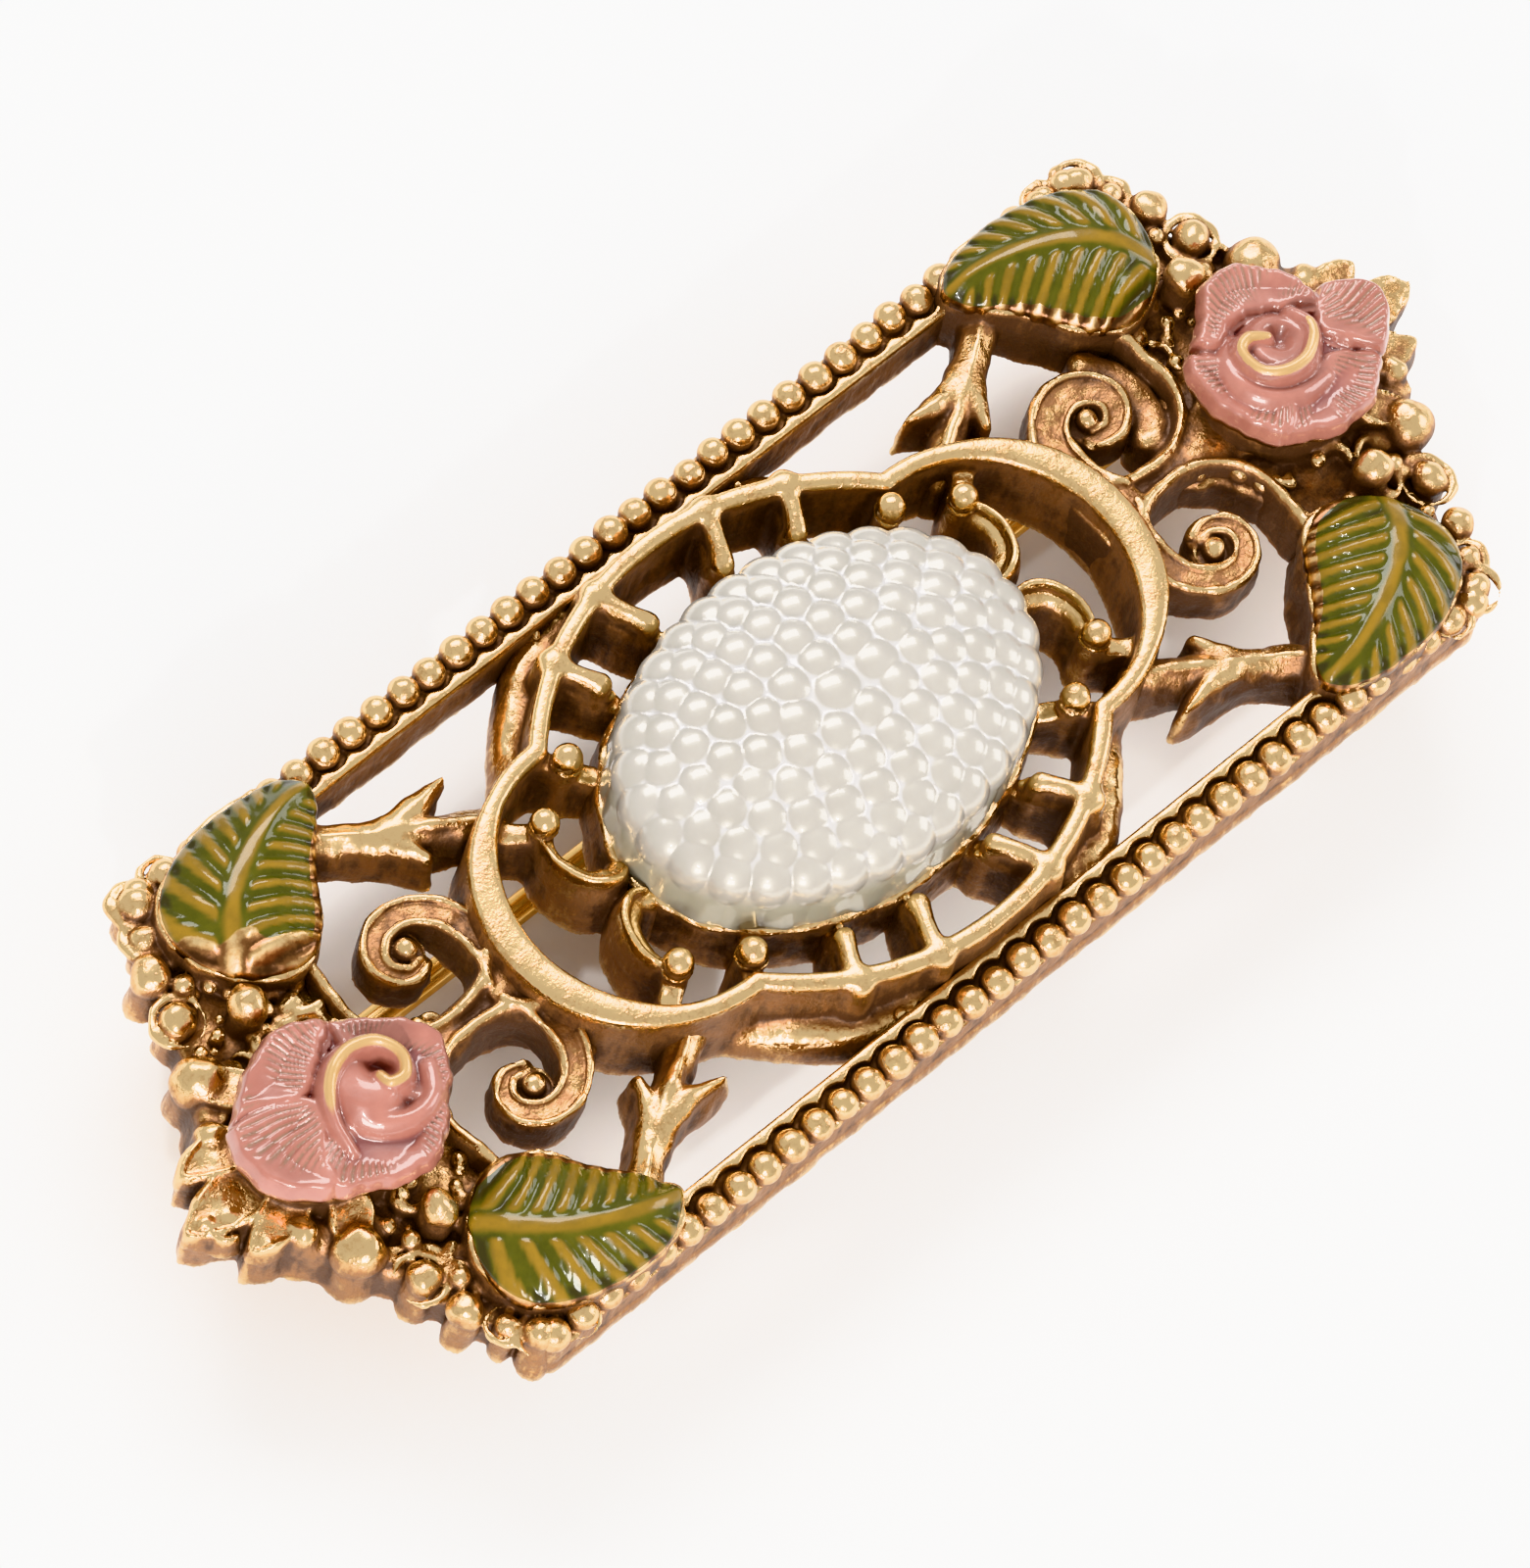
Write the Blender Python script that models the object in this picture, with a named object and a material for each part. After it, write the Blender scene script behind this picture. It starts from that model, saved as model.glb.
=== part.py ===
"""Oblong filigree barrette: a cast openwork ornament with a seed-pearl cabochon, enamelled leaves and roses,
and a slim snap bar across its back that hinges at one end and locks in a turning safety catch at the other.

+X runs along the length, +Y across the width, +Z out of the decorated face.
The origin is under the centre of the casting, level with the lowest point of the clasp, where the barrette rests.
Shapes are worked out from the casting's flat back at height 0, and one empty then lifts them all.
"""

import math

import bmesh
import bpy
from mathutils import Matrix, Vector

MM = 0.001

# Driving dimensions, in millimetres.
HALF_LENGTH = 41.8  # centre to the leaf tip at each end
HALF_WIDTH = 15.6  # centre to the outer face of each rail
RAIL_INSIDE = 13.3  # centre to the inner face of each rail
RAIL_TOP = 3.1
CORNER_X = 33.0
BEAD_Y = 14.8  # line of the beads on the rails
BEAD_R = 0.72
RIM_TOP = 5.4  # top of the four-lobed gallery
RIM_WALL = 1.0
CUSP_X = 11.8  # where two lobes of the gallery meet
CUSP_Y = 7.9
LONG_LOBE_Y = 12.8  # crown of the two long lobes
END_LOBE_X = 19.9  # crown of the two end lobes
GAP = 0.3  # clearance between a piece and what it is set on
CEMENT_THICK = 0.5

PEARL_HALF_X = 12.3
PEARL_HALF_Y = 8.7
PEARL_BASE = 3.5
PEARL_GIRDLE = 5.5
PEARL_TOP = 9.8
CUP_WALL = 0.5

ROSE_X = 32.75
ROSE_R = 5.4
ROSE_BED_R = 4.7
ROSE_BED_TOP = 4.9
LEAF_BASE = Vector((30.8, 8.2))
LEAF_TIP = Vector((22.2, 14.0))
LEAF_HALF_WIDTH = 3.7
LEAF_BED_TOP = 4.3
LEAF_THICK = 1.1

SCROLL = Vector((23.1, 4.6))
SCROLL_TOP = 3.6
PLATE_TOP = 3.0

BAR_Y = 4.9
BAR_Z = -5.3
BAR_R = 0.75
HINGE_X = 32.1
TIP_X = -34.5
CATCH_X = -31.2
PAD_THICK = 0.6
PAD_Z = -GAP - PAD_THICK / 2
EAR_INSIDE = 1.1  # half the room between the hinge's ears
EAR_THICK = 0.7
EAR_R = 1.5
RIVET_R = 0.5
RUNNING_GAP = 0.06
EYE_R = 1.2
JAW_R = 2.05
JAW_HOLE_R = 1.55
JAW_THICK = 0.8
JAW_GAP = 1.0  # slot between the two jaws, where the thumb tab turns
SLEEVE_R = 1.45
SLEEVE_HOLE_R = 0.95
MOUTH = 1.7  # width of the catch's mouth, open towards -Z
TAB_LENGTH = 2.3
TAB_ANGLE = math.radians(195)

QUADRANTS = ((1, 1), (-1, 1), (-1, -1), (1, -1))

COLOURS = {
    "antique_gold": ((0.62, 0.40, 0.16), 0.32, 1.0),
    "bright_gold": ((0.80, 0.56, 0.24), 0.22, 1.0),
    "dark_steel": ((0.30, 0.29, 0.28), 0.28, 1.0),
    "leaf_green": ((0.12, 0.17, 0.03), 0.22, 0.0),
    "rose_pink": ((0.71, 0.30, 0.29), 0.25, 0.0),
    "pearl_white": ((0.82, 0.78, 0.70), 0.18, 0.0),
    "cement_grey": ((0.55, 0.52, 0.46), 0.6, 0.0),
}


def clear_scene():
    for obj in list(bpy.data.objects):
        bpy.data.objects.remove(obj, do_unlink=True)


def material(name):
    colour, roughness, metallic = COLOURS[name]
    found = bpy.data.materials.get(name) or bpy.data.materials.new(name)
    found.use_nodes = True
    shader = found.node_tree.nodes["Principled BSDF"]
    shader.inputs["Base Color"].default_value = (*colour, 1)
    shader.inputs["Roughness"].default_value = roughness
    shader.inputs["Metallic"].default_value = metallic
    return found


# Shapes. Each takes millimetres and returns an object whose mesh is in metres.


def object_from(bm, name, finish="antique_gold"):
    bmesh.ops.recalc_face_normals(bm, faces=bm.faces)
    mesh = bpy.data.meshes.new(name)
    bm.to_mesh(mesh)
    bm.free()
    mesh.transform(Matrix.Scale(MM, 4))
    mesh.shade_smooth()
    mesh.set_sharp_from_angle(angle=math.radians(40))
    mesh.materials.append(material(finish))
    obj = bpy.data.objects.new(name, mesh)
    bpy.context.scene.collection.objects.link(obj)
    return obj


def loft(rings, name, finish="antique_gold"):
    """Closed solid through rings of equally many points, with a flat cap at each end."""
    bm = bmesh.new()
    loops = [[bm.verts.new(point) for point in ring] for ring in rings]
    count = len(loops[0])
    for low, high in zip(loops, loops[1:]):
        for i in range(count):
            j = (i + 1) % count
            bm.faces.new((low[i], low[j], high[j], high[i]))
    bm.faces.new(reversed(loops[0]))
    bm.faces.new(loops[-1])
    return object_from(bm, name, finish)


def at_height(outline, z):
    return [(x, y, z) for x, y in outline]


def prism(outline, low, high, name="piece", finish="antique_gold"):
    return loft([at_height(outline, low), at_height(outline, high)], name, finish)


def ring_wall(outer, inner, low, high, name="piece", finish="antique_gold"):
    """Upright closed wall between two outlines that have the same number of points."""
    bm = bmesh.new()
    corners = ((outer, low), (outer, high), (inner, high), (inner, low))
    loops = [[bm.verts.new((x, y, z)) for x, y in line] for line, z in corners]
    count = len(outer)
    for here, there in zip(loops, loops[1:] + loops[:1]):
        for i in range(count):
            j = (i + 1) % count
            bm.faces.new((here[i], here[j], there[j], there[i]))
    return object_from(bm, name, finish)


def rod(centre, radius, length, axis, name="piece", finish="antique_gold", sides=24):
    """Round rod centred on a point, along X, Y or Z."""
    bm = bmesh.new()
    bmesh.ops.create_cone(bm, cap_ends=True, segments=sides, radius1=radius, radius2=radius, depth=length)
    turn = {"X": Matrix.Rotation(math.pi / 2, 4, "Y"), "Y": Matrix.Rotation(math.pi / 2, 4, "X")}
    bm.transform(Matrix.Translation(Vector(centre)) @ turn.get(axis, Matrix.Identity(4)))
    return object_from(bm, name, finish)


def block(low, high, name="piece", finish="antique_gold"):
    outline = [(low[0], low[1]), (high[0], low[1]), (high[0], high[1]), (low[0], high[1])]
    return prism(outline, low[2], high[2], name, finish)


def bead(x, y, z, radius):
    bm = bmesh.new()
    place = Matrix.Translation((x, y, z))
    bmesh.ops.create_uvsphere(bm, u_segments=12, v_segments=7, radius=radius, matrix=place)
    return object_from(bm, "bead")


# Outlines, in the plane of the casting.


def arc(centre, radius, start, end, count):
    """Points along an arc, both ends included, angles in radians."""
    steps = [start + (end - start) * i / (count - 1) for i in range(count)]
    return [(centre[0] + radius * math.cos(a), centre[1] + radius * math.sin(a)) for a in steps]


def ellipse(half_x, half_y, count=48):
    turns = [2 * math.pi * i / count for i in range(count)]
    return [(half_x * math.cos(a), half_y * math.sin(a)) for a in turns]


def flipped(outline, sx, sy):
    return [(x * sx, y * sy) for x, y in outline]


def normals_along(path):
    """Unit normals to the left of an open path at each of its points."""
    found = []
    for i in range(len(path)):
        ahead = Vector(path[min(i + 1, len(path) - 1)])
        behind = Vector(path[max(i - 1, 0)])
        along = (ahead - behind).normalized()
        found.append(Vector((-along.y, along.x)))
    return found


def band(path, widths):
    """Outline of a strip that follows an open path; widths is one number, or the first and last width."""
    first, last = widths if isinstance(widths, tuple) else (widths, widths)
    sides = ([], [])
    for i, (point, normal) in enumerate(zip(path, normals_along(path))):
        half = (first + (last - first) * i / (len(path) - 1)) / 2
        sides[0].append(tuple(Vector(point) + half * normal))
        sides[1].append(tuple(Vector(point) - half * normal))
    return sides[0] + sides[1][::-1]


def curve_through(points, steps=4):
    """Smooth path (Catmull-Rom) through the given points."""
    held = [points[0], *points, points[-1]]
    path = []
    for a, b, c, d in zip(held, held[1:], held[2:], held[3:]):
        a, b, c, d = map(Vector, (a, b, c, d))
        for k in range(steps):
            t = k / steps
            path.append(tuple(0.5 * (2 * b + (c - a) * t + (2 * a - 5 * b + 4 * c - d) * t**2
                                     + (3 * b - a - 3 * c + d) * t**3)))
    path.append(tuple(points[-1]))
    return path


def gallery_line(offset):
    """The four-lobed outline, moved outwards by an offset: two shallow long lobes and two round end lobes."""
    rise = LONG_LOBE_Y - CUSP_Y
    long_r = (CUSP_X**2 + rise**2) / (2 * rise)
    long_centre = LONG_LOBE_Y - long_r
    reach = END_LOBE_X - CUSP_X
    end_r = (CUSP_Y**2 + reach**2) / (2 * reach)
    end_centre = END_LOBE_X - end_r
    # The cusp moves out with the offset: it stays where the two offset arcs cross.
    a, b = long_r + offset, end_r + offset
    between = Vector((end_centre, -long_centre))
    span = between.length
    along = (a * a - b * b + span * span) / (2 * span)
    up = math.sqrt(a * a - along * along)
    unit = between.normalized()
    cusp = Vector((0, long_centre)) + along * unit + up * Vector((-unit.y, unit.x))
    end_angle = math.atan2(cusp.y, cusp.x - end_centre)
    long_angle = math.atan2(cusp.y - long_centre, cusp.x)
    right = arc((end_centre, 0), b, -end_angle, end_angle, 21)[:-1]
    top = arc((0, long_centre), a, long_angle, math.pi - long_angle, 17)[:-1]
    half = right + top
    return half + flipped(half, -1, -1)


def leaf_outline(grow=0.0, count=9):
    """Pointed oval from the base to the tip of the leaf in the +X +Y quarter."""
    base, tip = LEAF_BASE, LEAF_TIP
    along = (tip - base).normalized()
    across = Vector((-along.y, along.x))
    length = (tip - base).length + 2 * grow
    start = base - grow * along
    sides = ([], [])
    for i in range(count):
        t = i / (count - 1)
        half = (LEAF_HALF_WIDTH + grow) * math.sin(math.pi * (0.06 + 0.94 * t) ** 0.72) ** 0.85
        point = start + t * length * along
        sides[0].append(tuple(point + half * across))
        sides[1].append(tuple(point - half * across))
    return sides[0][:-1] + [tuple(start + length * along)] + sides[1][:-1][::-1]


def petal_outline(radius, petals=5, depth=0.09, count=30):
    outline = []
    for i in range(count):
        turn = 2 * math.pi * i / count
        reach = radius * (1 + depth * math.cos(petals * turn))
        outline.append((reach * math.cos(turn), reach * math.sin(turn)))
    return outline


def moved(outline, x, y=0.0):
    return [(px + x, py + y) for px, py in outline]


# The casting is one piece, joined here from its members.


def rails():
    for side in (1, -1):
        low, high = sorted((side * RAIL_INSIDE, side * HALF_WIDTH))
        yield block((-CORNER_X, low, 0), (CORNER_X, high, RAIL_TOP))
        yield rod((0, side * BEAD_Y, RAIL_TOP + 0.4), BEAD_R, 2 * CORNER_X, "X", sides=10)


def end_plates():
    shoulder = [(HALF_LENGTH, 0), (39.6, 2.3), (38.0, 3.2), (37.2, 5.6)]
    shoulder += [(35.6, 7.6), (35.1, 11.4), (33.6, 13.4)]
    inside = [(28.0, 7.2), (27.8, 4.4), (26.2, 2.2), (24.0, 1.2)]
    outline = shoulder + [(CORNER_X, HALF_WIDTH - 0.05), (30.5, HALF_WIDTH - 0.05)] + inside
    outline += [(x, -y) for x, y in reversed(outline) if y]
    for sx in (1, -1):
        yield prism(flipped(outline, sx, 1), 0, PLATE_TOP)


def gallery():
    yield ring_wall(gallery_line(RIM_WALL / 2), gallery_line(-RIM_WALL / 2), 0, RIM_TOP)


def cup():
    outer = ellipse(PEARL_HALF_X + GAP + CUP_WALL, PEARL_HALF_Y + GAP + CUP_WALL)
    seat = ellipse(PEARL_HALF_X + GAP, PEARL_HALF_Y + GAP)
    opening = ellipse(PEARL_HALF_X - 2.4, PEARL_HALF_Y - 2.4)
    floor = PEARL_BASE - 2 * GAP - CEMENT_THICK
    yield ring_wall(outer, seat, 0, PEARL_BASE + 0.5)
    yield ring_wall(ellipse(PEARL_HALF_X + GAP + 0.2, PEARL_HALF_Y + GAP + 0.2), opening, floor - 1.0, floor)


def quarter_members(sx, sy):
    """What repeats in each quarter: spokes, cusp and curl posts, scroll, twig, leaf bed and border beads."""
    def put(outline, top):
        return prism(flipped(outline, sx, sy), 0, top)

    for rim, hub in (((3.2, 12.6), (2.5, 8.8)), ((7.3, 11.2), (6.1, 7.9))):
        yield put(band([rim, hub], 0.85), RIM_TOP - 0.5)
    cusp_post, curl_post = (11.0, 6.64), (14.2, 4.77)
    yield put(band([(12.1, 8.0), cusp_post, (9.6, 5.6)], 0.95), RIM_TOP - 1.2)
    yield put(arc(cusp_post, 0.8, 0, 1.75 * math.pi, 8), RIM_TOP + 0.4)
    curl = curve_through([(12.4, 0.9), (14.2, 1.3), (15.3, 2.8), curl_post, (15.9, 6.5)])
    yield put(band(curl, 0.9), RIM_TOP - 1.0)
    yield put(arc(curl_post, 0.8, 0, 1.75 * math.pi, 8), RIM_TOP + 0.4)

    spiral = []
    for i in range(27):
        turn = i / 26
        radius = 2.75 - 1.8 * turn
        angle = math.radians(215 - 440 * turn)
        spiral.append((SCROLL.x + radius * math.cos(angle), SCROLL.y + radius * math.sin(angle)))
    yield put(band([(20.0, 1.2)] + spiral, 0.8), SCROLL_TOP)
    yield put(arc(SCROLL, 0.85, 0, 1.75 * math.pi, 8), SCROLL_TOP + 0.3)

    twig = curve_through([(23.4, 12.6), (19.6, 10.1), (15.8, 6.9)])
    yield put(band(twig, (1.5, 1.1)), SCROLL_TOP - 0.2)
    yield put(band([(20.4, 10.4), (18.0, 10.6), (15.8, 10.3)], (1.1, 0.3)), SCROLL_TOP - 0.4)

    yield put(leaf_outline(0.25), LEAF_BED_TOP)
    for x, y, radius, z in (
        (32.0, 14.5, 0.85, 3.4),
        (34.1, 11.3, 0.95, 2.9),
        (34.4, 8.7, 1.15, 2.9),
        (35.9, 5.6, 1.35, 2.7),
        (32.0, 6.8, 0.95, 4.6),
    ):
        yield bead(sx * x, sy * y, z, radius)
    yield put(arc((32.0, 6.8), 0.8, 0, 1.75 * math.pi, 8), 4.2)


def stems_and_rose_beds():
    stem = [(19.6, 1.5), (21.6, 0.8), (24.6, 1.3), (24.6, -1.3), (21.6, -0.8), (19.6, -1.5)]
    for sx in (1, -1):
        yield prism(flipped(stem, sx, 1), 0, SCROLL_TOP + 0.1)
        yield prism(moved(petal_outline(ROSE_BED_R), sx * ROSE_X), 0, ROSE_BED_TOP)


def union(members, name):
    """Joins closed solids. Their undersides are staggered, then cut off level, so that none coincide."""
    parts = bpy.data.collections.new(f"{name}_members")
    bpy.context.scene.collection.children.link(parts)
    parts.hide_render = True
    step = 0.004 * MM
    for i, member in enumerate(members):
        for vertex in member.data.vertices:
            if abs(vertex.co.z) < step:
                vertex.co.z = -0.4 * MM - i * step
        bpy.context.scene.collection.objects.unlink(member)
        parts.objects.link(member)
        member.hide_render = True
        member.display_type = "WIRE"
    first, *rest = list(parts.objects)
    base = bpy.data.objects.new(name, first.data.copy())
    bpy.context.scene.collection.objects.link(base)
    parts.objects.unlink(first)
    bpy.data.objects.remove(first)
    joined = base.modifiers.new("members", "BOOLEAN")
    joined.operation = "UNION"
    joined.operand_type = "COLLECTION"
    joined.collection = parts
    joined.use_self = True
    reach = HALF_LENGTH + 5
    below = block((-reach, -reach, -5), (reach, reach, 0), f"{name}_back_cut")
    below.hide_render = True
    below.display_type = "WIRE"
    level = base.modifiers.new("flat_back", "BOOLEAN")
    level.operation = "DIFFERENCE"
    level.object = below
    return base


def make_casting():
    members = [*gallery(), *rails(), *end_plates(), *cup(), *stems_and_rose_beds()]
    for sx, sy in QUADRANTS:
        members += quarter_members(sx, sy)
    union(members, "filigree_casting")


# Set pieces.


def make_cabochon():
    rings = [at_height(ellipse(PEARL_HALF_X - 0.3, PEARL_HALF_Y - 0.3), PEARL_BASE)]
    rise = PEARL_TOP - PEARL_GIRDLE
    steps = 7
    for i in range(steps):
        lift = math.radians(86) * i / (steps - 1)
        shrink = math.cos(lift)
        outline = ellipse(PEARL_HALF_X * shrink, PEARL_HALF_Y * shrink)
        rings.append(at_height(outline, PEARL_GIRDLE + rise * math.sin(lift)))
    loft(rings, "seed_pearl_cabochon", "pearl_white")


def make_cement():
    """Ring of cement between the floor of the cup and the base of the cabochon."""
    outer = ellipse(PEARL_HALF_X - 0.4, PEARL_HALF_Y - 0.4)
    inner = ellipse(PEARL_HALF_X - 2.0, PEARL_HALF_Y - 2.0)
    top = PEARL_BASE - GAP
    ring_wall(outer, inner, top - CEMENT_THICK, top, "cabochon_cement", "cement_grey")


def make_leaf(name, sx, sy):
    low = LEAF_BED_TOP + GAP
    middle = Vector(LEAF_BASE).lerp(LEAF_TIP, 0.45)
    rings = []
    for scale, z in ((1.0, low), (1.0, low + 0.5), (0.8, low + 0.95), (0.3, low + LEAF_THICK)):
        points = [tuple(middle + scale * (Vector(point) - middle)) for point in leaf_outline()]
        rings.append(at_height(flipped(points, sx, sy), z))
    loft(rings, name, "leaf_green")


def make_rose(name, sx):
    low = ROSE_BED_TOP + GAP
    rings = []
    for radius, depth, z in (
        (ROSE_R - 0.5, 0.09, low),
        (ROSE_R, 0.09, low + 0.9),
        (ROSE_R - 0.6, 0.09, low + 1.5),
        (2.5, 0.03, low + 1.3),
        (2.0, 0.0, low + 2.9),
        (1.0, 0.0, low + 3.2),
    ):
        rings.append(at_height(moved(petal_outline(radius, depth=depth), sx * ROSE_X), z))
    loft(rings, name, "rose_pink")


# Snap bar, its hinge and its catch.


def subtract(obj, cutter):
    cutter.hide_render = True
    cutter.display_type = "WIRE"
    cut = obj.modifiers.new(cutter.name, "BOOLEAN")
    cut.operation = "DIFFERENCE"
    cut.object = cutter


def add(obj, other):
    other.hide_render = True
    other.display_type = "WIRE"
    join = obj.modifiers.new(other.name, "BOOLEAN")
    join.operation = "UNION"
    join.object = other


def pad_outline(x, half_x, half_y):
    return [(x + px, BAR_Y + py) for px, py in ellipse(half_x, half_y, 32)]


def in_side_view(outline, y_low, y_high, name, finish):
    """Prism whose outline is given as (x, z) and which runs along Y."""
    rings = [[(x, y, z) for x, z in outline] for y in (y_low, y_high)]
    return loft(rings, name, finish)


def in_end_view(outline, x_low, x_high, name, finish):
    """Prism whose outline is given as (y, z) and which runs along X."""
    rings = [[(x, y, z) for y, z in outline] for x in (x_low, x_high)]
    return loft(rings, name, finish)


def make_hinge():
    plate = prism(pad_outline(HINGE_X, 4.2, 3.0), PAD_Z - PAD_THICK / 2, PAD_Z + PAD_THICK / 2,
                  "hinge_plate", "bright_gold")
    ear = arc((HINGE_X, BAR_Z), EAR_R, -math.pi, 0, 13)
    ear += [(HINGE_X + EAR_R + 0.4, PAD_Z), (HINGE_X - EAR_R - 0.4, PAD_Z)]
    for side in (1, -1):
        near = BAR_Y + side * EAR_INSIDE
        far = near + side * EAR_THICK
        add(plate, in_side_view(ear, *sorted((near, far)), f"ear_{side}", "bright_gold"))
    subtract(plate, rod((HINGE_X, BAR_Y, BAR_Z), RIVET_R + RUNNING_GAP, 9, "Y", "rivet_hole"))

    half_grip = EAR_INSIDE + EAR_THICK + 0.1
    rivet = rod((HINGE_X, BAR_Y, BAR_Z), RIVET_R, 2 * half_grip + 0.4, "Y", "hinge_rivet", "dark_steel")
    for side in (1, -1):
        head = rod((HINGE_X, BAR_Y + side * (half_grip + 0.25), BAR_Z), 0.85, 0.5, "Y", f"rivet_head_{side}")
        add(rivet, head)


def bar_ring(x, radius):
    return [(x, y, z) for y, z in arc((BAR_Y, BAR_Z), radius, 0, 2 * math.pi * 15 / 16, 16)]


def make_bar():
    """Round bar with a flattened root, an eye round the rivet and a rounded tip."""
    tip = [(TIP_X + BAR_R * (1 - math.sin(a)), BAR_R * math.cos(a)) for a in
           (math.radians(84), math.radians(60), math.radians(30), 0)]
    stations = tip + [(HINGE_X - 0.9, BAR_R)]
    bar = loft([bar_ring(x, radius) for x, radius in stations], "clasp_bar", "bright_gold")
    add(bar, rod((HINGE_X, BAR_Y, BAR_Z), EYE_R, 2 * EAR_INSIDE - 0.3, "Y", "bar_eye"))
    subtract(bar, rod((HINGE_X, BAR_Y, BAR_Z), RIVET_R + RUNNING_GAP, 5, "Y", "bar_bore"))
    bar.data.transform(Matrix.Translation(Vector((-HINGE_X, -BAR_Y, -BAR_Z)) * MM))
    bar.location = Vector((HINGE_X, BAR_Y, BAR_Z)) * MM
    for name in ("bar_eye", "bar_bore"):
        helper = bpy.data.objects[name]
        helper.parent = bar
        helper.matrix_parent_inverse = Matrix.Translation(-bar.location)


def c_outline(outer, inner, mouth, facing):
    """Open ring in end view: the mouth, of constant width, faces the given angle."""
    start = facing + math.asin(mouth / 2 / outer)
    end = facing + 2 * math.pi - math.asin(mouth / 2 / outer)
    inner_start = facing + math.asin(mouth / 2 / inner)
    inner_end = facing + 2 * math.pi - math.asin(mouth / 2 / inner)
    return arc((BAR_Y, BAR_Z), outer, start, end, 22) + arc((BAR_Y, BAR_Z), inner, inner_end, inner_start, 22)


def make_catch():
    down = -math.pi / 2
    base = prism(pad_outline(CATCH_X, 3.6, 2.9), PAD_Z - PAD_THICK / 2, PAD_Z + PAD_THICK / 2,
                 "catch_base", "bright_gold")
    for side in (1, -1):
        near = CATCH_X + side * JAW_GAP / 2
        far = near + side * JAW_THICK
        jaw = in_end_view(c_outline(JAW_R, JAW_HOLE_R, 2 * JAW_HOLE_R - 0.2, down), *sorted((near, far)),
                          f"jaw_{side}", "bright_gold")
        add(base, jaw)
        low, high = sorted((near, far))
        neck = block((low, BAR_Y - 1.1, BAR_Z + JAW_HOLE_R + 0.1), (high, BAR_Y + 1.1, PAD_Z), f"neck_{side}")
        add(base, neck)

    half = JAW_GAP / 2 + JAW_THICK + 0.5
    shell = c_outline(SLEEVE_R, SLEEVE_HOLE_R, MOUTH, down)
    sleeve = in_end_view(shell, CATCH_X - half, CATCH_X + half, "safety_sleeve", "dark_steel")
    tab_half = JAW_GAP / 2 - 0.2
    across = 0.45
    reach = [(SLEEVE_R - 0.25, -across), (SLEEVE_R + TAB_LENGTH, -across), (SLEEVE_R + TAB_LENGTH + 0.3, 0),
             (SLEEVE_R + TAB_LENGTH, across), (SLEEVE_R - 0.25, across)]
    cos, sin = math.cos(TAB_ANGLE), math.sin(TAB_ANGLE)
    tab = [(BAR_Y + r * cos - s * sin, BAR_Z + r * sin + s * cos) for r, s in reach]
    add(sleeve, in_end_view(tab, CATCH_X - tab_half, CATCH_X + tab_half, "thumb_tab", "dark_steel"))


def lift_off_rest_plane():
    """Raises everything, cutters included, until the ears of the hinge stand at height 0."""
    lift = bpy.data.objects.new("casting_back", None)
    bpy.context.scene.collection.objects.link(lift)
    lift.location.z = (EAR_R - BAR_Z) * MM
    for obj in bpy.data.objects:
        if obj is not lift and obj.parent is None:
            obj.parent = lift


def main():
    clear_scene()
    make_casting()
    make_cabochon()
    make_cement()
    for end, sx in (("left", -1), ("right", 1)):
        make_rose(f"rose_enamel_{end}", sx)
        for edge, sy in (("upper", 1), ("lower", -1)):
            make_leaf(f"leaf_enamel_{edge}_{end}", sx, sy)
    make_hinge()
    make_bar()
    make_catch()
    lift_off_rest_plane()


main()
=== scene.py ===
"""Looks of the filigree barrette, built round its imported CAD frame.

Each cast, moulded or enamelled piece is a field of signed distances in millimetres (negative inside), put
together from walls, plates and beads, and then skinned with quads. Heights are above the casting's flat back.
Shapes are written for the quarter with positive x and y; sx and sy are the signs of the quarter being made.
"""

import math

import bpy
import numpy as np
from mathutils import Matrix, Vector


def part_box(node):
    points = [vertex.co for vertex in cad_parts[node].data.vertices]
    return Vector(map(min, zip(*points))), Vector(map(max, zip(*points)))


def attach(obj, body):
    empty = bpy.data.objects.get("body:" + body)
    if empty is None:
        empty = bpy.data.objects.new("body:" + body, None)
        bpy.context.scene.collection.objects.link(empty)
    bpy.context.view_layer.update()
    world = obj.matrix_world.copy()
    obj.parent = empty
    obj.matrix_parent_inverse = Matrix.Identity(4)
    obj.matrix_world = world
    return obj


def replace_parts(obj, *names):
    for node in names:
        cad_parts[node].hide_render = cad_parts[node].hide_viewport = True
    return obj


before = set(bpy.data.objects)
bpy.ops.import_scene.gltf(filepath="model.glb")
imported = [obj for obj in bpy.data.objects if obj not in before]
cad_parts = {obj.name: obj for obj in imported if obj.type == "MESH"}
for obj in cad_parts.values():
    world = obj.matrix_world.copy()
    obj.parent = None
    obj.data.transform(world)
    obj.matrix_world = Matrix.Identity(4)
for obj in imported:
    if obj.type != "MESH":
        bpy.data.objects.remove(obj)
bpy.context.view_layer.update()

MM = 0.001



def box_of(node):
    """A CAD piece's lowest and highest corners, in millimetres."""
    return (np.array(corner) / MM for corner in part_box(node))


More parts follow.
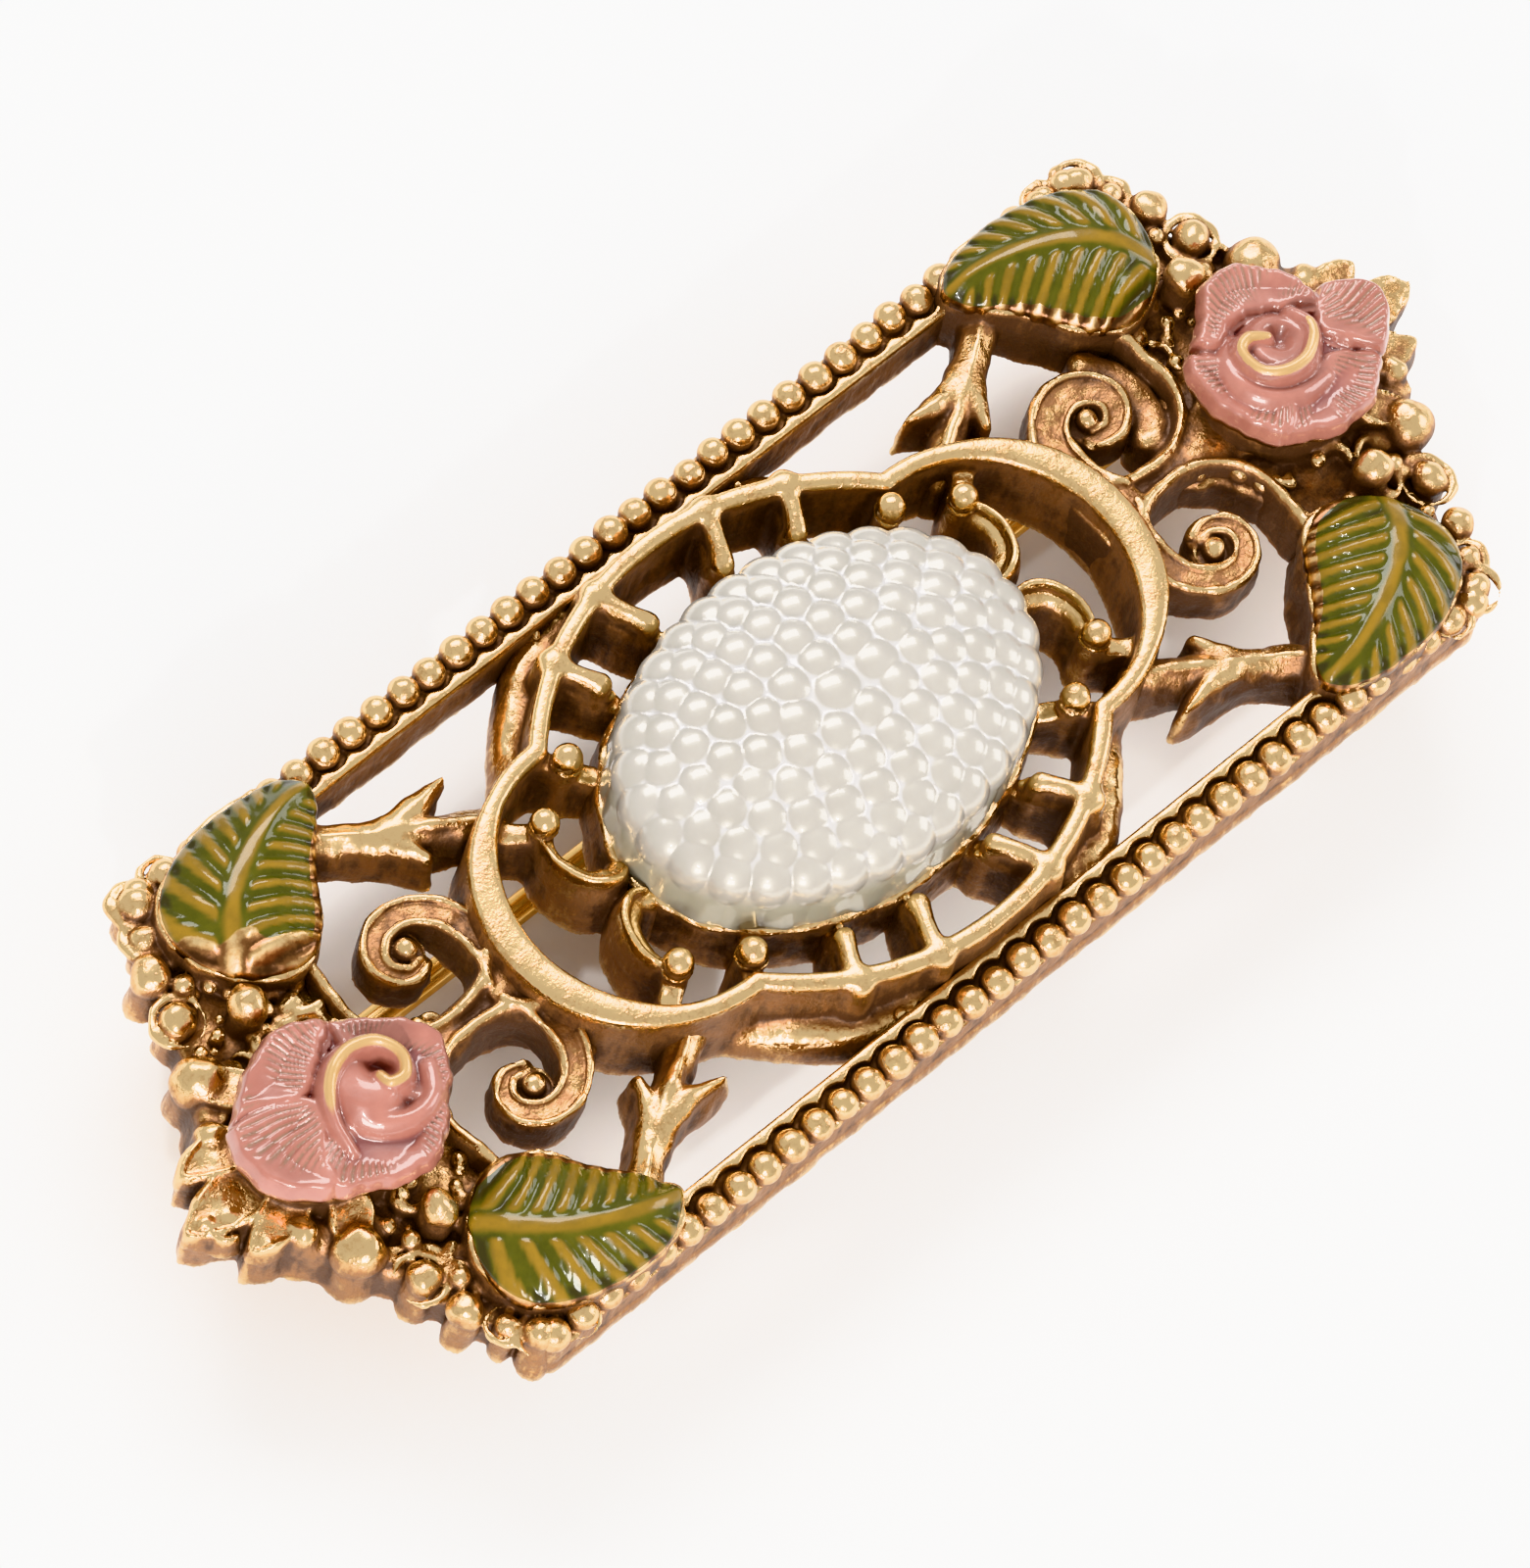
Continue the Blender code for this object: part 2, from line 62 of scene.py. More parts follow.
CASTING_LOW, CASTING_HIGH = box_of("filigree_casting")
PEARL_LOW, PEARL_HIGH = box_of("seed_pearl_cabochon")
BAR_LOW, BAR_HIGH = box_of("clasp_bar")
BACK = CASTING_LOW[2]  # height of the casting's back above the floor
HALF_LENGTH = CASTING_HIGH[0]
HALF_WIDTH = CASTING_HIGH[1]
PEARL_HALF = (PEARL_HIGH - PEARL_LOW)[:2] / 2
PEARL_BASE = PEARL_LOW[2] - BACK
PEARL_TOP = PEARL_HIGH[2] - BACK
PEARL_GIRDLE = PEARL_BASE + 3.0  # where the upright side turns into the dome

RIM_TOP = 5.4  # the four-lobed gallery's rim
CUSP = (11.8, 7.9)  # where two of its lobes meet
LONG_LOBE_Y = 12.8
END_LOBE_X = 19.9
RAIL_X = 32.4  # where the straight rails end
BEAD_Y = 14.85
BEAD_PITCH = 1.75
BEAD_R = 0.84
SCROLL = np.array((23.2, 4.6))  # centre of a scroll
SCROLL_BACK_X = 18.8  # from here the scrollwork runs
SCROLL_FRONT_X = 28.9  # to here
ROSE_X = 32.75
ROSE_BED_TOP = 5.0
ROSE_BED_HALF = (4.9, 3.9)
LEAF_EDGE_TOP = 4.7
END_LEVEL = 2.45  # the granulated ground at the two ends
FOOT = -1.0  # walls start below the back and are trimmed there
QUARTERS = ((1, 1), (-1, 1), (-1, -1), (1, -1))

# Even patina added to a cast piece, for the parts that have stayed darker.
TARNISH = {"scrollwork_left": 0.34, "scrollwork_right": 0.36, "end_left": 0.09, "end_right": 0.3}


# Fields.


def smooth_max(a, b, blend):
    if not blend:
        return np.maximum(a, b)
    near = np.clip(1 - np.abs(a - b) / blend, 0, None)
    return np.maximum(a, b) + near * near * blend / 4


def smooth_min(a, b, blend):
    return -smooth_max(-a, -b, blend)


def spline_weights(places, size):
    """Quadratic B-spline weights of a lattice with this spacing, at each place."""
    scaled = places / size
    start = math.floor(scaled.min()) - 1
    count = math.ceil(scaled.max()) - start + 3
    weights = np.zeros((len(places), count))
    nearest = np.round(scaled).astype(int)
    offset = scaled - nearest
    rows = np.arange(len(places))
    weights[rows, nearest - start - 1] = 0.5 * (0.5 - offset) ** 2
    weights[rows, nearest - start] = 0.75 - offset**2
    weights[rows, nearest - start + 1] = 0.5 * (0.5 + offset) ** 2
    return weights


def grid_noise(axes, sizes, seed):
    """Smooth noise on a grid, about -1 to 1, with one lattice spacing for each axis."""
    weights = [spline_weights(axis, size) for axis, size in zip(axes, sizes)]
    lattice = np.random.default_rng(seed).uniform(-2.2, 2.2, [w.shape[1] for w in weights])
    out = np.einsum("ai,ijk->ajk", weights[0], lattice)
    out = np.einsum("bj,ajk->abk", weights[1], out)
    return np.einsum("ck,abk->abc", weights[2], out).astype(np.float32)


class Field:
    """A block of signed distances on an even grid."""

    def __init__(self, low, high, step):
        self.step = step
        self.axes = [np.arange(a - step, b + 2 * step, step) for a, b in zip(low, high)]
        self.values = np.full([len(axis) for axis in self.axes], 9.0, np.float32)

    def window(self, low, high):
        """The slices of the grid between two corners, and its coordinates there."""
        cut = tuple(
            slice(max(0, np.searchsorted(axis, a) - 1), np.searchsorted(axis, b) + 1)
            for axis, a, b in zip(self.axes, low, high)
        )
        x, y, z = (axis[part] for axis, part in zip(self.axes, cut))
        return cut, x[:, None, None], y[None, :, None], z[None, None, :]

    def everywhere(self):
        """The slices and coordinates of the whole grid."""
        return self.window([axis[0] for axis in self.axes], [axis[-1] for axis in self.axes])

    def join(self, cut, shape, blend=0.0):
        self.values[cut] = smooth_min(self.values[cut], shape, blend)

    def carve(self, cut, shape, blend=0.0):
        self.values[cut] = smooth_max(self.values[cut], -shape, blend)

    def roughen(self, amount, sizes, seed, calm=None):
        """Lumps the surface, except above the height from which it was polished, if one is given."""
        lumps = amount * grid_noise(self.axes, sizes, seed)
        if calm is not None:
            polish = 0.85 * ramp(self.axes[2], calm - 0.25, calm + 0.15)
            lumps *= (1 - polish)[None, None, :].astype(np.float32)
        self.values += lumps

    def trim(self, level):
        """Cuts away everything below a height."""
        self.values = np.maximum(self.values, level - self.axes[2][None, None, :]).astype(np.float32)


def along_path(path, x, y, *properties):
    """Distance from each grid column to a path, and each property of the path at its nearest point."""
    best = np.full(np.broadcast(x, y).shape, 1e9)
    kept = [np.zeros_like(best) for _ in properties]
    for i in range(len(path) - 1):
        a, b = np.array(path[i], float), np.array(path[i + 1], float)
        step = b - a
        share = ((x - a[0]) * step[0] + (y - a[1]) * step[1]) / max(step @ step, 1e-9)
        share = np.clip(share, 0, 1)
        gap = np.hypot(x - a[0] - share * step[0], y - a[1] - share * step[1])
        closer = gap < best
        best = np.where(closer, gap, best)
        for k, values in enumerate(properties):
            kept[k] = np.where(closer, values[i] + share * (values[i + 1] - values[i]), kept[k])
    return best, *kept


def spread(value, count):
    """One value for each point: a number is held, and a short list is stretched evenly."""
    if np.isscalar(value):
        return np.full(count, float(value))
    return np.interp(np.linspace(0, 1, count), np.linspace(0, 1, len(value)), value)


def wall(field, path, width, top, low=FOOT, crown=0.1, draft=0.04, soften=0.22, blend=0.18):
    """An upright wall that follows a path, a little wider at its foot, with a crowned top."""
    path = np.array(path, float)
    widths, tops = spread(width, len(path)), spread(top, len(path))
    reach = widths.max() / 2 + 0.6
    lowest = (*(path.min(0) - reach), low - 0.3)
    highest = (*(path.max(0) + reach), tops.max() + 0.5)
    cut, x, y, z = field.window(lowest, highest)
    gap, wide, high = along_path(path, x, y, widths, tops)
    half = wide / 2
    side = gap - half - draft * (high - z)
    lid = z - high + crown * np.clip(gap / half, 0, 1.5) ** 2
    shape = np.maximum(smooth_max(side, lid, soften), low - z)
    field.join(cut, shape, blend)


def offset_path(path, amount):
    """The path moved sideways, to the left of its run."""
    run = np.gradient(path, axis=0)
    run /= np.maximum(np.linalg.norm(run, axis=1, keepdims=True), 1e-9)
    return path + np.reshape(amount, (-1, 1)) * np.stack([-run[:, 1], run[:, 0]], 1)


def channel(field, path, width, top, hollow, lip, low=FOOT, crown=0.0, blend=0.12):
    """A wall whose top is hollowed between two raised lips."""
    path = np.array(path, float)
    widths, tops = spread(width, len(path)), spread(top, len(path))
    wall(field, path, widths, tops - hollow, low=low, crown=crown, soften=0.15, blend=blend)
    for side in (1, -1):
        edge = offset_path(path, side * np.maximum(widths - lip, 0.05) / 2)
        wall(field, edge, lip, tops, low=tops.min() - 1.2, crown=0.15, draft=0.02, soften=0.15, blend=0.06)


def leaflet(field, start, end, width, top, bend=0.0):
    """A small pointed leaf with raised edges."""
    start, end = np.array(start, float), np.array(end, float)
    span = end - start
    middle = (start + end) / 2 + bend * np.array((-span[1], span[0])) / np.linalg.norm(span)
    path = curve_through([start, middle, end], 5)
    share = np.linspace(0, 1, len(path))
    widths = width * np.sin(math.pi * (0.28 + 0.72 * share)) ** 0.8 + 0.12
    channel(field, path, widths, top, 0.25, 0.26)


def post(field, place, width, top, **form):
    """A round upright post."""
    x, y = place
    wall(field, [(x, y), (x + 0.01, y)], width, top, **form)


def ball(field, centre, radius, blend):
    reach = radius + 0.5
    centre = np.array(centre, float)
    cut, x, y, z = field.window(centre - reach, centre + reach)
    shape = np.sqrt((x - centre[0]) ** 2 + (y - centre[1]) ** 2 + (z - centre[2]) ** 2) - radius
    field.join(cut, shape, blend)


def ring(field, centre, radius, thick, blend):
    """A round ring lying flat."""
    reach = np.array((radius, radius, 0)) + thick + 0.4
    centre = np.array(centre, float)
    cut, x, y, z = field.window(centre - reach, centre + reach)
    around = np.hypot(x - centre[0], y - centre[1]) - radius
    field.join(cut, np.sqrt(around**2 + (z - centre[2]) ** 2) - thick, blend)


def outline_distance(outline, x, y):
    """Signed distance from each grid column to a closed outline, negative inside."""
    outline = np.array(outline, float)
    gap = along_path(np.vstack([outline, outline[:1]]), x, y)[0]
    inside = np.zeros(gap.shape, bool)
    for (ax, ay), (bx, by) in zip(outline, np.roll(outline, -1, axis=0)):
        if ay == by:
            continue
        crosses = (ay > y) != (by > y)
        inside ^= crosses & (x < (bx - ax) * (y - ay) / (by - ay) + ax)
    return np.where(inside, -gap, gap)


def plate(field, outline, top, soften, draft=0.04, blend=0.18):
    """A flat piece with this outline."""
    reach = 0.6
    lowest = (*(outline.min(0) - reach), FOOT - 0.3)
    highest = (*(outline.max(0) + reach), top + 0.5)
    cut, x, y, z = field.window(lowest, highest)
    gap = outline_distance(outline, x, y)
    shape = smooth_max(gap + draft * (z - top), z - top, soften)
    field.join(cut, np.maximum(shape, FOOT - z), blend)


# Skinning.


def largest_part(points, quads):
    """Keeps the largest connected part of a mesh, so that no loose speck is left beside it."""
    label = np.arange(len(points))
    while True:
        lowest = label.copy()
        np.minimum.at(lowest, quads.ravel(), label[quads].min(axis=1).repeat(4))
        lowest = lowest[lowest]
        if (lowest == label).all():
            break
        label = lowest
    kept = label == np.bincount(label).argmax()
    place = np.cumsum(kept) - 1
    return points[kept], place[quads[kept[quads[:, 0]]]]


def skin(field):
    """Surface net of a field, closed at its border: points in millimetres, and quads that face outwards."""
    values = np.pad(field.values[1:-1, 1:-1, 1:-1], 1, constant_values=1.0)
    inside = values < 0
    corners = [(i, j, k) for i in (0, 1) for j in (0, 1) for k in (0, 1)]
    shape = np.array(values.shape) - 1

    def at(array, i, j, k):
        return array[i:i + shape[0], j:j + shape[1], k:k + shape[2]]

    filled = sum(at(inside, *c).astype(np.uint8) for c in corners)
    cells = np.flatnonzero((filled > 0) & (filled < 8))
    index = np.full(shape.prod(), -1, np.int64)
    index[cells] = np.arange(len(cells))
    index = index.reshape(shape)
    place = np.stack(np.unravel_index(cells, shape), 1)
    corner_values = np.stack([values[tuple((place + c).T)] for c in corners], 1)
    total, count = np.zeros((len(cells), 3)), np.zeros(len(cells))
    for a, first in enumerate(corners):
        for b, second in enumerate(corners):
            if b <= a or sum(abs(p - q) for p, q in zip(first, second)) != 1:
                continue
            va, vb = corner_values[:, a], corner_values[:, b]
            crossed = (va < 0) != (vb < 0)
            share = np.where(crossed, va / np.where(crossed, va - vb, 1), 0)
            point = np.array(first) + share[:, None] * (np.array(second) - first)
            total += np.where(crossed[:, None], point, 0)
            count += crossed
    origin = np.array([axis[0] for axis in field.axes])
    points = (place + total / count[:, None]) * field.step + origin
    quads = []
    for axis in range(3):
        u, v = (axis + 1) % 3, (axis + 2) % 3
        here = [slice(1, -1)] * 3
        there = [slice(1, -1)] * 3
        here[axis], there[axis] = slice(0, -1), slice(1, None)
        first, second = inside[tuple(here)], inside[tuple(there)]
        edges = np.stack(np.nonzero(first != second), 1)
        edges[:, u] += 1
        edges[:, v] += 1
        leaving = first[first != second]
        around = []
        for du, dv in ((-1, -1), (0, -1), (0, 0), (-1, 0)):
            cell = edges.copy()
            cell[:, u] += du
            cell[:, v] += dv
            around.append(index[tuple(cell.T)])
        quad = np.stack(around, 1)
        quads.append(np.where(leaving[:, None], quad, quad[:, ::-1]))
    return largest_part(points, np.concatenate(quads))


def blurred(values, cells):
    """Two box blurs, a few cells each way along every axis."""
    out = values.astype(np.float32)
    for _ in range(2):
        for axis in range(3):
            margins = [(cells + 1, cells) if k == axis else (0, 0) for k in range(3)]
            running = np.cumsum(np.pad(out, margins, mode="edge"), axis=axis, dtype=np.float64)
            length = out.shape[axis]
            width = 2 * cells + 1
            upper = np.take(running, range(width, width + length), axis=axis)
            lower = np.take(running, range(length), axis=axis)
            out = ((upper - lower) / width).astype(np.float32)
    return out


def sampled(values, axes, points):
    """Trilinear samples of a grid at points."""
    base, share = [], []
    for k, axis in enumerate(axes):
        scaled = np.clip((points[:, k] - axis[0]) / (axis[1] - axis[0]), 0, len(axis) - 1.001)
        base.append(scaled.astype(int))
        share.append(scaled - base[-1])
    out = 0
    for corner in ((i, j, k) for i in (0, 1) for j in (0, 1) for k in (0, 1)):
        weight = 1
        for k in range(3):
            weight = weight * (share[k] if corner[k] else 1 - share[k])
        out = out + weight * values[tuple(base[k] + corner[k] for k in range(3))]
    return out


class Surroundings:
    """Coarse grid of everything solid, which tells how enclosed a point is."""

    def __init__(self, step=0.3):
        low = (-HALF_LENGTH - 3, -HALF_WIDTH - 3, -3.0)
        high = (HALF_LENGTH + 3, HALF_WIDTH + 3, PEARL_TOP + 3)
        self.axes = [np.arange(a, b, step) for a, b in zip(low, high)]
        self.solid = np.zeros([len(axis) for axis in self.axes], np.float32)
        self.blur = None

    def add(self, field):
        picks, cuts = [], []
        for axis, own in zip(self.axes, field.axes):
            inside = np.flatnonzero((axis >= own[0]) & (axis <= own[-1]))
            cuts.append(slice(inside[0], inside[-1] + 1))
            nearest = np.round((axis[inside] - own[0]) / field.step).astype(int)
            picks.append(np.clip(nearest, 0, len(own) - 1))
        filled = field.values[np.ix_(*picks)] < 0
        self.solid[tuple(cuts)] = np.maximum(self.solid[tuple(cuts)], filled)

    def enclosure(self, points, normals):
        if self.blur is None:
            self.blur = blurred(self.solid, 4)
        return sampled(self.blur, self.axes, points + 0.7 * normals)


surroundings = Surroundings()


def ramp(values, low, high):
    share = np.clip((values - low) / (high - low), 0, 1)
    return share * share * (3 - 2 * share)


def piece_from(name, points, quads, material, attributes=None, body="ornament"):
    """A shown piece from points in millimetres above the casting's back."""
    placed = (points + (0, 0, BACK)) * MM
    mesh = bpy.data.meshes.new(name)
    mesh.vertices.add(len(placed))
    mesh.vertices.foreach_set("co", placed.astype(np.float32).ravel())
    mesh.loops.add(quads.size)
    mesh.loops.foreach_set("vertex_index", quads.astype(np.int32).ravel())
    mesh.polygons.add(len(quads))
    mesh.polygons.foreach_set("loop_start", np.arange(0, quads.size, 4, dtype=np.int32))
    mesh.polygons.foreach_set("loop_total", np.full(len(quads), 4, np.int32))
    mesh.update(calc_edges=True)
    mesh.shade_smooth()
    for key, values in (attributes or {}).items():
        mesh.attributes.new(key, "FLOAT", "POINT").data.foreach_set("value", values.astype(np.float32))
    mesh.materials.append(material)
    obj = bpy.data.objects.new(name, mesh)
    bpy.context.scene.collection.objects.link(obj)
    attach(obj, body)
    return obj


def normals_of(field, points):
    slopes = np.gradient(field.values, field.step)
    out = np.stack([sampled(slope, field.axes, points) for slope in slopes], 1)
    return out / np.maximum(np.linalg.norm(out, axis=1, keepdims=True), 1e-6)


def cast_piece(name, field, material, tarnish=0.0):
    """Skins a cast field and notes, at each vertex, how dark it is: patina and per-piece tarnish, with
    painted shade on upright walls, in hollows and where surrounding pieces close round it.
    """
    points, quads = skin(field)
    normals = normals_of(field, points)
    cells = max(2, round(0.35 / field.step))
    cavity = sampled(blurred(field.values < 0, cells), field.axes, points) - 0.5
    enclosed = surroundings.enclosure(points, normals)
    up = normals[:, 2]
    side = 1 - ramp(up, 0.25, 0.85)
    # Darkness from real patina and from painted shade: even tarnish, painted shade on upright walls, patina
    # and painted shade in small hollows, and painted shade where neighbouring pieces enclose the point.
    patina_and_shade = tarnish + 0.62 * side + 2.4 * cavity + 1.15 * (enclosed - 0.24)
    patina_and_shade = np.where(up < -0.5, 0.35, patina_and_shade)
    return piece_from(name, points, quads, material, {"patina_and_shade": np.clip(patina_and_shade, 0, 1)})


# Outlines.


def arc(centre, radius, start, end, count):
    turns = np.linspace(start, end, count)
    return np.stack([centre[0] + radius * np.cos(turns), centre[1] + radius * np.sin(turns)], 1)


def curve_through(points, steps=8):
    """Smooth path (Catmull-Rom) through the given points."""
    points = np.array(points, float)
    held = np.vstack([points[:1], points, points[-1:]])
    path = []
    for a, b, c, d in zip(held, held[1:], held[2:], held[3:]):
        for t in np.arange(steps) / steps:
            path.append(0.5 * (2 * b + (c - a) * t + (2 * a - 5 * b + 4 * c - d) * t**2
                               + (3 * b - a - 3 * c + d) * t**3))
    path.append(points[-1])
    return np.array(path)


def flip(points, sx, sy):
    return np.array(points, float) * (sx, sy)


def gallery_line():
    """Closed four-lobed line: the long lobes are shallow arcs, and the end lobes nearly half circles."""
    count = 40
    rise = LONG_LOBE_Y - CUSP[1]
    long_r = (CUSP[0] ** 2 + rise**2) / (2 * rise)
    reach = END_LOBE_X - CUSP[0]
    end_r = (CUSP[1] ** 2 + reach**2) / (2 * reach)
    end_centre, long_centre = END_LOBE_X - end_r, LONG_LOBE_Y - long_r
    end_angle = math.atan2(CUSP[1], CUSP[0] - end_centre)
    long_angle = math.atan2(CUSP[1] - long_centre, CUSP[0])
    right = arc((end_centre, 0), end_r, -end_angle, end_angle, count)[:-1]
    top = arc((0, long_centre), long_r, long_angle, math.pi - long_angle, count)[:-1]
    half = np.vstack([right, top])
    return np.vstack([half, -half, half[:1]])


# The casting's members.


def rail_field(side):
    low_y, high_y = sorted((side * 12.9, side * (HALF_WIDTH + 0.35)))
    field = Field((-RAIL_X - 0.8, low_y, -0.1), (RAIL_X + 0.8, high_y, 4.5), 0.1)
    ends = np.array([(-RAIL_X + 1.1, 0), (RAIL_X - 1.1, 0)])
    rail_y, toe_y, inner_lip_y = 14.4, 14.95, 13.68
    wall(field, ends + (0, side * rail_y), 2.1, 2.95, draft=0.02)
    wall(field, ends + (0, side * toe_y), 1.3, 1.0, draft=0.05)
    wall(field, ends + (0, side * inner_lip_y), 0.72, 3.45, crown=0.06, soften=0.2, blend=0.05)
    count = int(RAIL_X / BEAD_PITCH)
    rng = np.random.default_rng(11 if side > 0 else 12)
    bead_z, seat_z = 3.18, 2.85
    places = [np.array((i * BEAD_PITCH, side * BEAD_Y, bead_z)) for i in range(-count, count + 1)]
    for place in places:  # a groove round each bead, where it meets the rail
        cut, x, y, z = field.window(place - 1.4, place + 1.4)
        around = np.hypot(x - place[0], y - place[1]) - BEAD_R - 0.1
        field.carve(cut, np.hypot(around, np.maximum(seat_z - z, 0)) - 0.2, 0.05)
    for place in places:
        wobble = rng.normal(0, (0.05, 0.04, 0.04))
        ball(field, place + wobble, BEAD_R * (1 + rng.normal(0, 0.03)), 0.03)
    field.roughen(0.06, (0.8, 0.8, 0.9), 21 if side > 0 else 22, calm=2.9)
    field.roughen(0.022, (0.3, 0.3, 0.35), 23, calm=3.0)
    field.trim(0.0)
    return field


def gallery_field():
    field = Field((-21.7, -14.2, -0.1), (21.7, 14.2, 6.4), 0.13)
    line = gallery_line()
    ends = ramp(np.abs(line[:, 0]), 15.0, END_LOBE_X)
    cut, x, y, z = field.window((-21.7, -14.2, -0.4), (21.7, 14.2, 6.0))
    gap, wide = along_path(line, x, y, 0.95 + 0.8 * ends)
    side = gap - wide / 2 - 0.04 * (RIM_TOP - z)
    lid = z - RIM_TOP + 0.1 * np.clip(2 * gap / wide, 0, 1.5) ** 2
    field.join(cut, smooth_max(side, lid, 0.28))

    # Low step outside the long lobes, filled in up to the rails with lumpy metal.
    rng = np.random.default_rng(33)
    for sy in (1, -1):
        foot = [(-12.4, 8.6), (-9.6, 11.3), (-6.5, 12.9), (0.0, 13.3), (6.5, 12.9), (9.6, 11.3), (12.4, 8.6)]
        step = curve_through(flip(foot, 1, sy))
        wall(field, step, 1.7, (1.6, 2.4, 2.8, 2.4, 1.6), crown=0.6, soften=0.5, blend=1.0)
        for x in np.linspace(-6.6, 6.6, 34):
            lump = (x + rng.normal(0, 0.15), sy * 13.2 + rng.normal(0, 0.15), rng.uniform(2.4, 2.75))
            ball(field, lump, rng.uniform(0.16, 0.34), 0.08)

    for sx, sy in QUARTERS:
        for rim, hub in (((3.75, 12.5), (2.6, 9.75)), ((7.9, 11.1), (6.7, 8.8))):
            spoke = flip(curve_through([rim, np.add(rim, hub) / 2 + (0.12, 0), hub], 4), sx, sy)
            wall(field, spoke, (1.4, 1.05, 0.95, 1.15), (5.4, 5.35, 5.3, 5.15),
                 crown=0.25, soften=0.35, draft=0.03, blend=0.4)
            wall(field, spoke, 1.3, (4.3, 4.0, 3.7), blend=0.3)
            inward = spoke[-1] - (spoke[0] - spoke[-1]) * 0.32
            wall(field, [spoke[-1], inward], 1.1, (4.1, 3.3), blend=0.3)
            for _ in range(4):
                x, y = spoke[-1] + (inward - spoke[-1]) * rng.uniform(0.1, 1) + rng.normal(0, 0.25, 2)
                ball(field, (x, y, rng.uniform(3.4, 4.0)), rng.uniform(0.2, 0.38), 0.1)
        cusp_post, curl_post = (11.0, 6.64), (14.25, 4.8)
        wall(field, flip([(12.0, 8.0), cusp_post], sx, sy), 1.0, 4.5, blend=0.3)
        wall(field, flip([cusp_post, (9.9, 5.7)], sx, sy), 1.1, (4.2, 3.6), blend=0.3)
        curl = flip(curve_through([(12.5, 1.0), (13.3, 0.8), (14.3, 1.5), (14.75, 3.1), curl_post]), sx, sy)
        wall(field, curl, (1.3, 1.5, 1.2, 0.9), (4.1, 4.5, 4.5, 4.2), crown=0.4, soften=0.4, blend=0.25)
        outer = offset_path(curl, -0.3 * sx * sy)
        wall(field, outer, (0.35, 0.55, 0.5, 0.4), (4.5, 5.2, 5.2, 4.8), low=2.5, crown=0.3, blend=0.2)
        wall(field, flip([curl_post, (15.9, 6.2)], sx, sy), 1.1, (4.2, 4.0), blend=0.3)
        post_top = 4.7
        for place in (flip(cusp_post, sx, sy), flip(curl_post, sx, sy)):
            wall(field, [place, place + (sx * 0.01, 0)], 1.3, post_top, blend=0.2)
            ball(field, (*place, post_top + 0.55), 0.76, 0.04)
            ring(field, (*place, post_top), 0.68, 0.16, 0.05)
    field.roughen(0.06, (1.0, 1.0, 1.8), 31, calm=4.9)
    field.roughen(0.028, (0.34, 0.34, 0.9), 32, calm=4.9)
    field.trim(0.0)
    return field


def oval(x, y, half_x, half_y):
    """About the distance from each column to an ellipse, negative inside."""
    scaled = np.sqrt((x / half_x) ** 2 + (y / half_y) ** 2)
    slope = np.sqrt((x / half_x**2) ** 2 + (y / half_y**2) ** 2) / np.maximum(scaled, 1e-6)
    return (scaled - 1) / np.maximum(slope, 1e-6)


def cup_field():
    half_x, half_y = PEARL_HALF + 0.2
    field = Field((-half_x - 0.6, -half_y - 0.6, -0.1), (half_x + 0.6, half_y + 0.6, 5.4), 0.14)
    cut, x, y, z = field.everywhere()
    turn = np.arctan2(y / half_y, x / half_x)
    lip = PEARL_BASE + 0.35 + 0.22 * np.sin(turn * 11) * np.sin(turn * 3 + 1)
    outer = oval(x, y, half_x, half_y) + 0.05 * (z - 4)
    inner = oval(x, y, half_x - 1.1, half_y - 1.1)
    rim = smooth_max(np.maximum(outer, -inner), z - lip, 0.3)
    floor = np.maximum(outer, np.abs(z - 1.9) - 0.5)
    hole = oval(x, y, half_x - 3.4, half_y - 3.4)
    floor = smooth_max(floor, -hole, 0.3)
    field.join(cut, np.minimum(rim, floor))
    field.roughen(0.1, (0.8, 0.8, 0.8), 41)
    field.roughen(0.04, (0.35, 0.35, 0.35), 42)
    field.trim(0.0)
    return field


SCROLL_ARM = ((20.9, 0.2), (20.35, 1.8), (20.35, 3.6), (20.95, 5.1), (22.2, 6.1), (23.7, 6.15), (24.75, 5.3),
              (24.8, 4.2), (23.95, 3.45), (22.9, 3.6))


